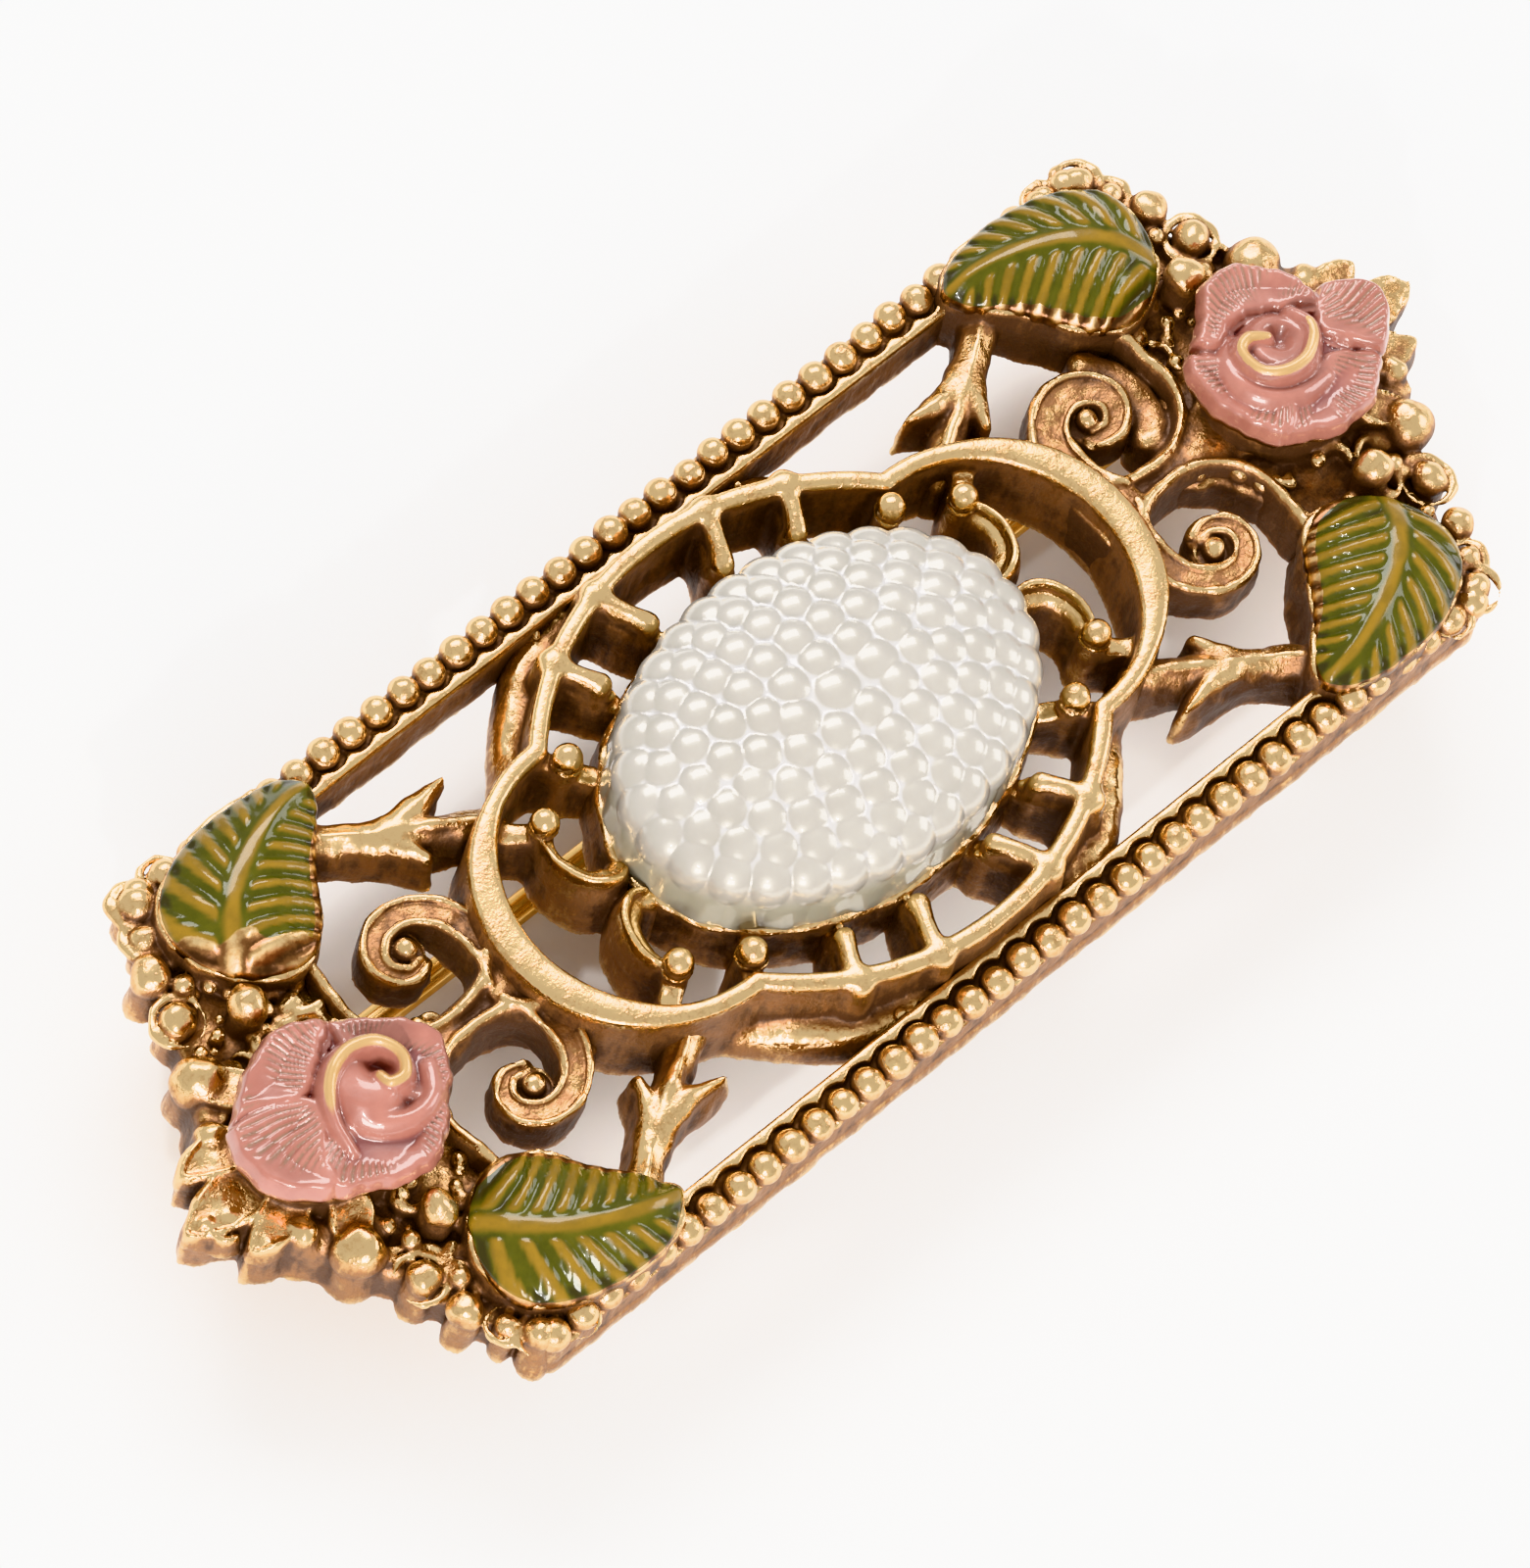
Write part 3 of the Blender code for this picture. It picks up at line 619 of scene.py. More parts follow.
def scrollwork_field(sx):
    low_x, high_x = sorted((sx * SCROLL_BACK_X, sx * SCROLL_FRONT_X))
    field = Field((low_x, -8.6, -0.1), (high_x, 8.6, 4.9), 0.115)
    line = curve_through(SCROLL_ARM, 7)
    for sy in (1, -1):
        broad = 1.3 if (sx, sy) == (1, 1) else 1.0
        widths = broad * np.array((2.0, 1.85, 1.7, 1.6, 1.45, 1.2, 0.9))
        tops = (4.2, 4.0, 3.8, 3.7, 3.6, 3.45, 3.2)
        channel(field, flip(line, sx, sy), widths, tops, 0.3, 0.42, low=0.9, crown=0.15, blend=0.25)
        # Web between the arm and the gallery.
        web = flip(curve_through([(20.4, 1.0), (19.9, 2.9), (19.6, 4.4)]), sx, sy)
        wall(field, web, 1.4, (3.8, 3.4, 2.8), crown=0.3, blend=0.4)
        centre = SCROLL * (sx, sy)
        post(field, centre, 2.2, 2.75, low=1.2, blend=0.3)
        ring(field, (*centre, 2.8), 0.9, 0.15, 0.08)
        ball(field, (*centre, 3.0), 0.64, 0.05)
    stem = curve_through([(19.9, 0.0), (21.8, 0.0), (25.0, 0.0), (29.0, 0.0)])
    stem_widths, stem_tops = (3.6, 1.6, 1.3, 2.4, 4.6), (4.2, 3.5, 3.3, 3.5, 3.6)
    wall(field, flip(stem, sx, 1), stem_widths, stem_tops, crown=0.3, soften=0.4)
    arch = curve_through([(20.6, 1.7), (21.7, 0.9), (23.3, 0.55), (25.2, 0.65), (27.0, 1.7), (27.9, 3.4),
                          (27.8, 5.4), (27.7, 6.8)])
    arch_widths, arch_tops = (0.9, 0.7, 0.6, 0.7, 0.8), (4.3, 3.95, 3.8, 3.8, 4.0)
    for sy in (1, -1):
        wall(field, flip(arch, sx, sy), arch_widths, arch_tops, crown=0.35, soften=0.3, blend=0.3)
    if sx > 0:
        # One scroll has metal left between it and the bed of the rose.
        wall(field, curve_through([(25.6, 6.9), (26.3, 5.2), (26.3, 3.2), (25.4, 2.0)]), 1.9, 3.0, crown=0.4,
             soften=0.4, blend=0.3)
    field.roughen(0.09, (0.9, 0.9, 1.4), 51 if sx > 0 else 52)
    field.roughen(0.04, (0.34, 0.34, 0.7), 53)
    field.trim(0.0)
    return field


LEAF_EDGE = ((31.4, 8.3), (32.2, 9.8), (32.5, 11.6), (31.9, 13.3), (30.6, 14.3), (28.9, 15.0), (26.9, 15.3),
             (24.8, 15.3), (22.9, 14.9), (21.7, 14.0), (21.8, 12.9), (23.0, 11.6), (24.1, 10.4), (25.1, 9.0),
             (26.1, 7.7), (27.4, 6.8), (28.9, 6.7), (30.3, 7.3))
MIDRIB = ((31.2, 8.6), (29.9, 10.4), (28.0, 11.9), (25.7, 13.0), (23.6, 13.6), (21.9, 13.7))


def leaf_length():
    rib = curve_through(MIDRIB, 6)
    return float(np.linalg.norm(np.diff(rib, axis=0), axis=1).sum())


def leaf_outline(sx, sy):
    edge = LEAF_EDGE
    if (sx, sy) == (-1, -1):  # The lower left leaf comes to a point at its tip.
        edge = (*LEAF_EDGE[:8], (23.3, 14.75), (22.0, 13.5), (22.6, 12.5), *LEAF_EDGE[11:])
    return flip(curve_through([*edge, edge[0]], 3)[:-1], sx, sy)


def leaf_places(x, y, sx, sy):
    """How far points lie along the midrib from its stem end, and sideways from it, in millimetres."""
    rib = curve_through(MIDRIB, 6)
    run = np.gradient(rib, axis=0)
    lengths = np.concatenate([[0], np.cumsum(np.linalg.norm(np.diff(rib, axis=0), axis=1))])
    x, y = x * sx, y * sy
    gap, along, near_x, near_y, run_x, run_y = along_path(
        rib, x, y, lengths, rib[:, 0], rib[:, 1], run[:, 0], run[:, 1])
    side = np.sign((x - near_x) * run_y - (y - near_y) * run_x)
    return along, gap * side


END_SHOULDER = ((40.7, 0.5), (38.4, 2.0), (37.0, 4.2), (35.5, 6.8), (34.5, 8.8), (33.8, 11.2), (32.8, 12.9),
                (31.7, 14.6))
END_INSIDE = ((28.4, 8.6), (27.9, 6.4), (27.7, 4.4), (26.4, 2.2), (24.6, 0.7))


def end_outline(sx):
    half = np.array([*END_SHOULDER, (30.0, 15.3), (29.0, 12.0), *END_INSIDE])
    return np.vstack([half, half[::-1] * (1, -1)]) * (sx, 1)


BORDER_BEADS = (  # x, y, height of the centre, radius, and whether a ring goes round it
    (32.0, 14.5, 3.35, 0.86, True),
    (32.9, 13.0, 3.2, 0.62, True),
    (33.95, 11.25, 3.1, 0.98, False),
    (34.45, 8.65, 3.2, 0.95, True),
    (35.85, 5.7, 3.1, 1.4, False),
    (37.35, 3.2, 3.2, 0.85, False),
    (31.9, 6.85, 4.75, 0.98, False),
    (30.0, 14.9, 3.2, 0.66, True),
    (33.1, 9.9, 3.3, 0.5, False),
    (33.5, 6.9, 3.3, 0.55, False),
    (38.6, 1.7, 3.1, 0.5, False),
)


def granules(field, rng, outline, count, keep_out, level):
    """Scatters small lumps and curved ridges inside an outline, outside the given circles (x, y, radius)."""
    low, high = outline.min(0), outline.max(0)
    x, y = rng.uniform(low[0], high[0], count), rng.uniform(low[1], high[1], count)
    inside = outline_distance(outline, x, y) < -0.1
    for k, (px, py, kept) in enumerate(zip(x, y, inside)):
        radius, height = rng.uniform(0.22, 0.52), level + rng.uniform(0.2, 0.75)
        start = rng.uniform(0, 2 * math.pi)
        if not kept or any(math.hypot(px - cx, py - cy) < r for cx, cy, r in keep_out):
            continue
        if k % 5:
            ball(field, (px, py, height), radius, 0.12)
        else:
            curl = arc((px, py), 0.75, start, start + 2.6, 7)
            wall(field, curl, 0.34, height + 0.25, low=level - 0.5, crown=0.1, soften=0.15, blend=0.1)


def end_field(sx):
    low_x, high_x = sorted((sx * 14.2, sx * (HALF_LENGTH + 0.2)))
    field = Field((low_x, -15.95, -0.1), (high_x, 15.95, 6.4), 0.14)
    rng = np.random.default_rng(64 if sx > 0 else 65)
    plate(field, end_outline(sx), END_LEVEL, soften=0.6)
    keep_out = [(x * sx, y * sy, r * 0.9) for x, y, _, r, _ in BORDER_BEADS for sy in (1, -1)]
    granules(field, rng, end_outline(sx), 460, [*keep_out, (sx * ROSE_X, 0, 4.1)], END_LEVEL)
    twig = curve_through([(24.0, 12.9), (21.6, 11.0), (19.4, 9.6), (17.4, 8.4), (15.3, 7.1)])
    outer_thorn = curve_through([(19.3, 9.8), (17.6, 9.9), (15.8, 10.2)])
    inner_thorn = curve_through([(20.2, 9.9), (19.5, 8.8), (19.0, 7.6)])
    rounded = dict(crown=0.55, soften=0.4, blend=0.2)
    crest = dict(low=2.0, crown=0.2, soften=0.15, blend=0.25)
    pointed = dict(crown=0.4, soften=0.3)
    twig_walls = (
        (twig, (2.1, 1.8, 2.1, 1.6, 1.9), (3.5, 3.3, 3.6, 3.3, 3.3), rounded),
        (twig, (0.5, 0.4, 0.7, 0.4), (3.7, 3.4, 3.75, 3.4), crest),
        (outer_thorn, (1.9, 1.3, 0.4), (3.6, 3.7, 3.5), pointed),
        (inner_thorn, (1.8, 1.3, 0.8), (3.4, 3.5, 3.3), pointed),
    )
    for sy in (1, -1):
        plate(field, leaf_outline(sx, sy), LEAF_EDGE_TOP - 0.2, soften=0.12, draft=0.02)
        for x, y, height, radius, ringed in BORDER_BEADS:
            x, y = x * sx, y * sy
            post(field, (x, y), 1.7 * radius, height, draft=0.03, blend=0.15)
            ball(field, (x, y, height), radius, 0.05)
            if ringed:
                ring(field, (x, y, height - 0.1), radius + 0.36, 0.2, 0.1)
        for line, widths, tops, form in twig_walls:
            wall(field, flip(line, sx, sy), widths, tops, **form)
    # Bed of the rose, and the pointed calyx leaves that stand out beyond it.
    turns = np.linspace(0, 2 * math.pi, 40, endpoint=False)
    bed = np.stack([np.cos(turns), np.sin(turns)], 1) * ROSE_BED_HALF + (sx * (ROSE_X + 0.05), 0)
    plate(field, bed, ROSE_BED_TOP - 0.25, soften=0.4, blend=0.4)
    calyx = flip(arc((ROSE_X, 0), 5.5, -1.25, 1.25, 30), sx, 1)
    wall(field, calyx, 1.9, 3.35, crown=0.5, soften=0.4, blend=0.3)
    tip = HALF_LENGTH - 0.1
    leaflet(field, (sx * 36.8, 0), (sx * tip, 0.1), 2.8, (3.7, 3.8, 3.3))
    for sy in (1, -1):
        bend = 0.2 * sx * sy
        leaflet(field, (sx * 36.4, sy * 1.7), (sx * 39.9, sy * 2.5), 2.2, (3.9, 3.9, 3.5), bend)
        leaflet(field, (sx * 34.6, sy * 3.6), (sx * 36.7, sy * 5.6), 2.1, (4.2, 4.0, 3.7), bend)
    field.roughen(0.14, (1.4, 1.4, 1.6), 61 if sx > 0 else 62)
    field.roughen(0.07, (0.5, 0.5, 0.8), 63)
    field.trim(0.0)
    return field


# Stone and enamels.


def pearl_bumps():
    """Places and outward directions of the moulded seed pearls, in rings round a short middle row."""
    half = np.array((*PEARL_HALF, PEARL_TOP - 0.05 - PEARL_GIRDLE))
    middle = 2.7
    places = [(-middle, 0.0), (0.0, 0.0), (middle, 0.0)]
    for reach, count in ((1.8, 11), (3.5, 17), (5.15, 22), (6.65, 27), (7.9, 31)):
        turns = np.linspace(0, 2 * math.pi, 721)
        line = np.stack([(reach + middle + 0.75) * np.cos(turns), reach * np.sin(turns)], 1)
        walked = np.concatenate([[0], np.cumsum(np.linalg.norm(np.diff(line, axis=0), axis=1))])
        stops = walked[-1] * (np.arange(count) + 0.31 * reach) / count % walked[-1]
        places += [(np.interp(s, walked, line[:, 0]), np.interp(s, walked, line[:, 1])) for s in stops]
    for x, y in places:
        inside = max(0.02, 1 - (x / half[0]) ** 2 - (y / half[1]) ** 2)
        place = np.array((x, y, half[2] * math.sqrt(inside)))
        outward = place / half**2
        yield place + (0, 0, PEARL_GIRDLE), outward / np.linalg.norm(outward)


def pearl_field():
    half_x, half_y = PEARL_HALF
    low, high = (-half_x - 0.3, -half_y - 0.3, PEARL_BASE), (half_x + 0.3, half_y + 0.3, PEARL_TOP + 0.2)
    field = Field(low, high, 0.11)
    cut, x, y, z = field.everywhere()
    inside = np.clip(1 - (x / half_x) ** 2 - (y / half_y) ** 2, 0, 1)
    dome = PEARL_GIRDLE - 0.3 + (PEARL_TOP - PEARL_GIRDLE) * np.sqrt(inside)
    turn = np.arctan2(y / half_y, x / half_x)
    flutes = 0.09 * np.abs(np.sin(turn * 15.5)) - 0.16
    side = oval(x, y, half_x, half_y) - flutes - 0.03 * (PEARL_GIRDLE - z)
    field.join(cut, np.maximum(smooth_max(side, (z - dome) * 0.8, 0.8), PEARL_BASE - z))
    ball_r, rise = 1.75, 0.14
    for k, (place, outward) in enumerate(pearl_bumps()):
        size = ball_r + (0.35 if k < 3 else 0)
        centre = place - outward * (size - rise)
        cut, x, y, z = field.window(centre - size - 0.2, centre + size + 0.2)
        shape = np.sqrt((x - centre[0]) ** 2 + (y - centre[1]) ** 2 + (z - centre[2]) ** 2) - size
        field.join(cut, np.maximum(shape, PEARL_GIRDLE - 0.6 - z), 0.03)
    field.trim(PEARL_BASE)
    return field


def leaf_relief(along, across, depth):
    """Height of the leaf above its edge, and how much each point belongs to a rib (0 to 1)."""
    out = np.abs(across)
    share = np.clip(along / leaf_length(), 0, 1)
    midrib = np.exp(-(out / (0.62 - 0.3 * share)) ** 2)
    lean = 0.35 + 0.055 * along
    phase = (along - lean * out + 0.45 * (across > 0)) / 1.22
    wave = 0.5 + 0.5 * np.cos(2 * math.pi * phase)
    rib = wave**0.8 * ramp(out, 0.35, 0.9)
    dome = 1.45 * (1 - (1 - np.clip(depth / 3.6, 0, 1)) ** 2.3)
    height = dome + 0.08 * midrib + 0.26 * (rib - 0.6) * ramp(out, 0.3, 0.9) * ramp(depth, 0.0, 0.5)
    return height, np.clip(np.maximum(midrib, rib), 0, 1)


def leaf_field(sx, sy):
    outline = leaf_outline(sx, sy)
    low, high = outline.min(0) - 0.5, outline.max(0) + 0.5
    field = Field((*low, LEAF_EDGE_TOP - 0.9), (*high, LEAF_EDGE_TOP + 2.2), 0.085)
    cut, x, y, z = field.everywhere()
    gap = outline_distance(outline, x, y)
    along, across = leaf_places(x, y, sx, sy)
    height, rib = leaf_relief(along, across, -gap)
    serrated = gap - 0.06 * (rib - 0.5)
    shape = smooth_max(serrated, (z - LEAF_EDGE_TOP - height) * 0.85, 0.3)
    field.join(cut, np.maximum(shape, LEAF_EDGE_TOP - 0.7 - z))
    field.roughen(0.035, (1.0, 1.0, 1.0), 71 + sx + 2 * sy)
    return field


def make_leaf(name, sx, sy, material):
    field = leaf_field(sx, sy)
    points, quads = skin(field)
    along, across = leaf_places(points[:, 0], points[:, 1], sx, sy)
    gap = outline_distance(leaf_outline(sx, sy), points[:, 0], points[:, 1])
    _, rib = leaf_relief(along, across, -gap)
    # Bare metal: a band along the side by the rail, and all that is below the edge.
    width = 0.6 * ramp(-across, 1.0, 3.0) - 0.15
    bare = ramp(gap, -width - 0.15, -width + 0.1)
    if (sx, sy) == (-1, 1):  # The upper left leaf has lost its enamel at the stem end.
        bare = np.maximum(bare, 1 - ramp(along + 0.25 * np.sin(across * 2.3), 0.5, 2.2))
    bare = np.maximum(bare, 1 - ramp(points[:, 2], LEAF_EDGE_TOP - 0.15, LEAF_EDGE_TOP + 0.15))
    grooves = (1 - rib) * np.maximum(ramp(gap, -1.1, -0.3), 0.9 - ramp(along, 0.9, 1.9))
    # Painted shade under the leaf's edge; together with the real dark grooves it darkens the bare metal.
    shadow = 1 - ramp(points[:, 2], LEAF_EDGE_TOP - 0.6, LEAF_EDGE_TOP + 0.2)
    attributes = {"rib": rib, "bare": bare, "patina_and_shade": np.maximum(shadow * 0.8, grooves), "groove": grooves}
    piece = piece_from(f"{name}_relief", points, quads, material, attributes)
    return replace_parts(piece, name)


ROSE_PETALS = {  # for each end: the petals' outlines, and the height at which each one lies
    -1: (
        (((-30.4, 3.6), (-27.9, 2.1), (-26.3, 0.4), (-26.2, -1.0), (-27.4, -2.8), (-29.3, -3.0),
          (-31.0, -0.5)), 0.95),
        (((-27.2, -2.4), (-28.7, -4.1), (-30.5, -5.3), (-32.5, -5.3), (-34.3, -4.5), (-36.0, -3.5),
          (-35.7, -1.8), (-34.0, -0.6), (-31.0, -1.2)), 0.8),
        (((-29.9, 3.5), (-31.5, 4.6), (-33.2, 4.7), (-35.0, 4.1), (-36.8, 3.0), (-37.6, 2.1),
          (-36.0, 1.6), (-34.0, 0.8), (-31.6, 2.2)), 1.25),
        (((-37.8, 2.2), (-38.5, 0.7), (-38.4, -1.1), (-37.3, -2.7), (-36.1, -3.6), (-35.2, -3.2),
          (-34.7, -1.7), (-33.6, -0.6), (-33.6, 1.2), (-36.0, 2.4)), 1.05),
    ),
    1: (
        (((28.2, 3.6), (27.4, 2.7), (27.0, 1.2), (27.2, -0.5), (27.9, -2.1), (28.6, -3.3), (30.2, -2.8),
          (30.6, -1.4), (29.6, 1.8)), 0.95),
        (((28.6, -3.2), (29.8, -3.9), (31.2, -4.6), (32.6, -4.7), (34.1, -4.5), (35.4, -3.7),
          (36.1, -2.8), (35.2, -1.6), (33.6, -0.9), (31.0, -1.4)), 0.8),
        (((35.5, 1.7), (36.4, 2.1), (37.5, 1.6), (38.4, 1.0), (38.7, -0.3), (38.0, -1.6), (36.9, -2.6),
          (36.0, -2.8), (34.9, -1.6), (34.2, 0.3)), 1.0),
        (((28.4, 3.5), (29.4, 4.1), (30.4, 5.0), (31.5, 5.8), (33.0, 5.8), (34.3, 5.0), (35.2, 3.8),
          (35.7, 2.5), (35.2, 1.2), (34.2, 1.6), (31.4, 2.9), (29.4, 2.4)), 1.25),
    ),
}
ROSE_CURL = {  # the gilded lip of the bud: its line and its height along it
    -1: (((-33.8, -2.5), (-33.7, -1.0), (-33.2, 0.1), (-32.2, 1.0), (-30.9, 1.3), (-29.6, 0.8),
         (-29.1, -0.4), (-29.6, -1.3), (-30.4, -1.2), (-30.5, -0.6)),
        (1.5, 2.2, 2.7, 3.0, 3.1, 3.1, 3.0, 2.9, 2.8, 2.6)),
    1: (((31.4, 1.2), (30.6, 1.7), (29.9, 1.5), (29.7, 0.8), (29.9, -0.1), (30.8, -0.8), (32.1, -0.9),
        (33.2, -0.3), (33.7, 0.5), (33.6, 1.5)),
       (2.7, 2.9, 2.8, 2.8, 2.8, 2.9, 2.9, 2.8, 2.7, 2.3)),
}
ROSE_INNER = {  # the smaller petal that wraps the bud, written the same way
    -1: (((-32.6, -1.3), (-31.8, -2.3), (-30.4, -3.0), (-28.9, -2.7), (-27.9, -1.5)),
        (1.9, 2.1, 2.1, 2.0, 1.7)),
    1: (((30.2, 2.3), (29.2, 1.5), (28.9, 0.2), (29.5, -1.1), (31.0, -1.9), (32.8, -1.9)),
       (1.7, 2.0, 2.1, 2.1, 2.0, 1.6)),
}
BUD = {-1: (-31.2, -0.4), 1: (31.8, 0.5)}
ROSE_PIT = {-1: (-29.9, 0.1), 1: (32.2, 0.9)}


def ridge(line, heights, width, x, y):
    """A rounded crest along a line: its height at each column, and the distance from it."""
    path = curve_through(line, 6)
    gap, top = along_path(path, x, y, spread(heights, len(path)))
    return top - 0.8 * (gap / width) ** 2, gap


def rose_relief(x, y, sx):
    """Height of the rose above its bed, the outline's distance, and where it is hatched, gilded, or sunk
    round the bud, which is painted as shade.
    """
    bud_x, bud_y = BUD[sx]
    from_bud = np.hypot(x - bud_x, y - bud_y)
    turn = np.arctan2(y - bud_y, x - bud_x)
    ragged = 0.05 * np.sin(turn * 13 + sx) + 0.03 * np.sin(turn * 29)
    height = np.where(from_bud < 4.2, 1.15, -0.6)
    edge = from_bud - 4.2
    hatched = np.zeros(height.shape)
    scratch = np.sin(turn * 76 + 1.6 * np.sin(from_bud * 1.7) + 1.5 * np.sin(turn * 9))
    for k, (outline, level) in enumerate(ROSE_PETALS[sx]):
        gap = outline_distance(curve_through([*outline, outline[0]], 5)[:-1], x, y) + ragged
        depth = -gap
        lip = 0.7 * (1 - ramp(depth, 0.3, 2.6)) + 0.1 * np.sin(turn * 5 + 2 * k)
        patch = ramp(np.sin(turn * 4 + 1.3 * k + from_bud), -1.0, -0.2)
        band = ramp(depth, 0.35, 0.7) * (1 - ramp(depth, 2.1, 3.0)) * ramp(from_bud, 2.6, 3.2) * patch
        petal = level + lip - 0.5 * (1 - np.clip(depth / 0.45, 0, 1)) ** 2 + 0.075 * scratch * band
        petal = np.where(depth > -0.25, petal, -2)
        on_top = petal > height
        height = np.where(on_top, petal, height)
        hatched = np.where(on_top, band * ramp(-scratch, 0.0, 0.8), hatched)
        edge = np.minimum(edge, gap)
    height = height - 0.9 * (1 - np.clip(-edge / 0.6, 0, 1)) ** 2.2
    body = 0.5 + 1.9 * (1 - ramp(from_bud, 1.2, 3.0))
    pit_x, pit_y = ROSE_PIT[sx]
    body = body - 1.0 * np.exp(-((np.hypot(x - pit_x, y - pit_y) / 0.8) ** 2))
    inner, inner_gap = ridge(*ROSE_INNER[sx], 0.75, x, y)
    curl, curl_gap = ridge(*ROSE_CURL[sx], 0.55, x, y)
    wrapped = np.where(inner_gap < 1.1, inner, -2)
    curled = np.where(curl_gap < 0.9, curl, -2)
    bud = smooth_max(smooth_max(body, wrapped, 0.5), curled, 0.15)
    on_bud = bud > height
    # Painted shade: the low ground round the bud is marked to be painted darker.
    sunk_shade = (1 - ramp(np.maximum(height, bud), 0.7, 1.5)) * (1 - ramp(from_bud, 3.2, 4.2))
    curl_top = ROSE_CURL[sx][1]
    gilt = np.where(on_bud, 1 - ramp(curl_gap, 0.15, 0.5), 0)
    gilt = gilt * ramp(bud, min(curl_top) + 0.3, max(curl_top) - 0.3)
    return smooth_max(height, bud, 0.12), edge, hatched * ~on_bud, gilt, sunk_shade


def rose_field(sx):
    low = np.array((sx * ROSE_X - 6.8, -6.4))
    field = Field((*low, ROSE_BED_TOP - 0.8), (sx * ROSE_X + 6.8, 6.8, ROSE_BED_TOP + 3.6), 0.085)
    cut, x, y, z = field.everywhere()
    height, edge, *_ = rose_relief(x, y, sx)
    undercut = 0.35 * (ROSE_BED_TOP + 0.9 - z)
    shape = smooth_max(edge + undercut, (z - ROSE_BED_TOP - height) * 0.75, 0.15)
    field.join(cut, np.maximum(shape, ROSE_BED_TOP - 0.55 - z))
    field.roughen(0.05, (1.2, 1.2, 1.2), 81 if sx > 0 else 82)
    return field


def make_rose(name, sx, material):
    field = rose_field(sx)
    points, quads = skin(field)
    _, _, hatched, gilt, sunk_shade = rose_relief(points[:, 0], points[:, 1], sx)
    cavity = sampled(blurred(field.values < 0, 4), field.axes, points) - 0.5
    # Painted shade: darker pink in hollows and in the sunk ground round the bud.
    recess_shade = np.clip(1.7 * cavity + sunk_shade, 0, 1)
    under = 1 - ramp(points[:, 2], ROSE_BED_TOP - 0.1, ROSE_BED_TOP + 0.5)
    attributes = {"worn": hatched, "gilt": gilt, "recess_shade": recess_shade, "bare": under}
    piece = piece_from(f"{name}_relief", points, quads, material, attributes)
    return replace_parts(piece, name)


# Materials.


class Nodes:
    """Short way to lay out a material's nodes."""

    def __init__(self, name):
        self.material = bpy.data.materials.new(name)
        self.material.use_nodes = True
        self.tree = self.material.node_tree
        self.shader = self.tree.nodes["Principled BSDF"]

    def new(self, kind, **settings):
        node = self.tree.nodes.new(kind)
        for key, value in settings.items():
            setattr(node, key, value)
        return node

    def link(self, source, target):
        self.tree.links.new(source, target)

    def feed(self, socket, value):
        if isinstance(value, bpy.types.NodeSocket):
            self.link(value, socket)
        else:
            socket.default_value = value

    def attribute(self, name):
        return self.new("ShaderNodeAttribute", attribute_name=name).outputs["Fac"]

    def maths(self, operation, a, b=0.0, clamp=False):
        node = self.new("ShaderNodeMath", operation=operation, use_clamp=clamp)
        self.feed(node.inputs[0], a)
        self.feed(node.inputs[1], b)
        return node.outputs[0]

    def plus(self, a, b, clamp=False):
        return self.maths("ADD", a, b, clamp)

    def times(self, a, b):
        return self.maths("MULTIPLY", a, b)

    def fade(self, full, share):
        """A value that falls from full to nothing as the share goes from 0 to 1."""
        return self.plus(self.times(share, -full), full)

    def swing(self, cloud, amount):
        """A noise made to swing evenly about zero."""
        return self.times(self.plus(cloud, -0.5), amount)

    def between(self, value, low, high, first=0.0, last=1.0):
        node = self.new("ShaderNodeMapRange", interpolation_type="SMOOTHSTEP")
        for socket, given in zip(node.inputs, (value, low, high, first, last)):
            self.feed(socket, given)
        return node.outputs[0]

    def mix(self, share, first, second):
        node = self.new("ShaderNodeMix", data_type="RGBA")
        self.feed(node.inputs["Factor"], share)
        self.feed(node.inputs["A"], (*first, 1) if isinstance(first, tuple) else first)
        self.feed(node.inputs["B"], (*second, 1) if isinstance(second, tuple) else second)
        return node.outputs["Result"]

    def noise(self, size, detail=3.0, stretch=(1, 1, 1)):
        """Noise whose features are about this many millimetres across."""
        place = self.new("ShaderNodeTexCoord").outputs["Object"]
        mapping = self.new("ShaderNodeMapping")
        mapping.inputs["Scale"].default_value = stretch
        self.link(place, mapping.inputs["Vector"])
        node = self.new("ShaderNodeTexNoise")
        self.link(mapping.outputs[0], node.inputs["Vector"])
        node.inputs["Scale"].default_value = 1 / (size * MM)
        node.inputs["Detail"].default_value = detail
        node.inputs["Roughness"].default_value = 0.55
        return node.outputs["Fac"]

    def bump(self, height, depth, strength=1.0, base=None):
        node = self.new("ShaderNodeBump")
        node.inputs["Strength"].default_value = strength
        node.inputs["Distance"].default_value = depth * MM
        self.link(height, node.inputs["Height"])
        if base is not None:
            self.link(base, node.inputs["Normal"])
        return node.outputs[0]

    def set(self, **values):
        for key, value in values.items():
            socket = self.shader.inputs[key.replace("_", " ").title().replace("Ior", "IOR")]
            self.feed(socket, (*value, 1) if isinstance(value, tuple) and len(value) == 3 else value)


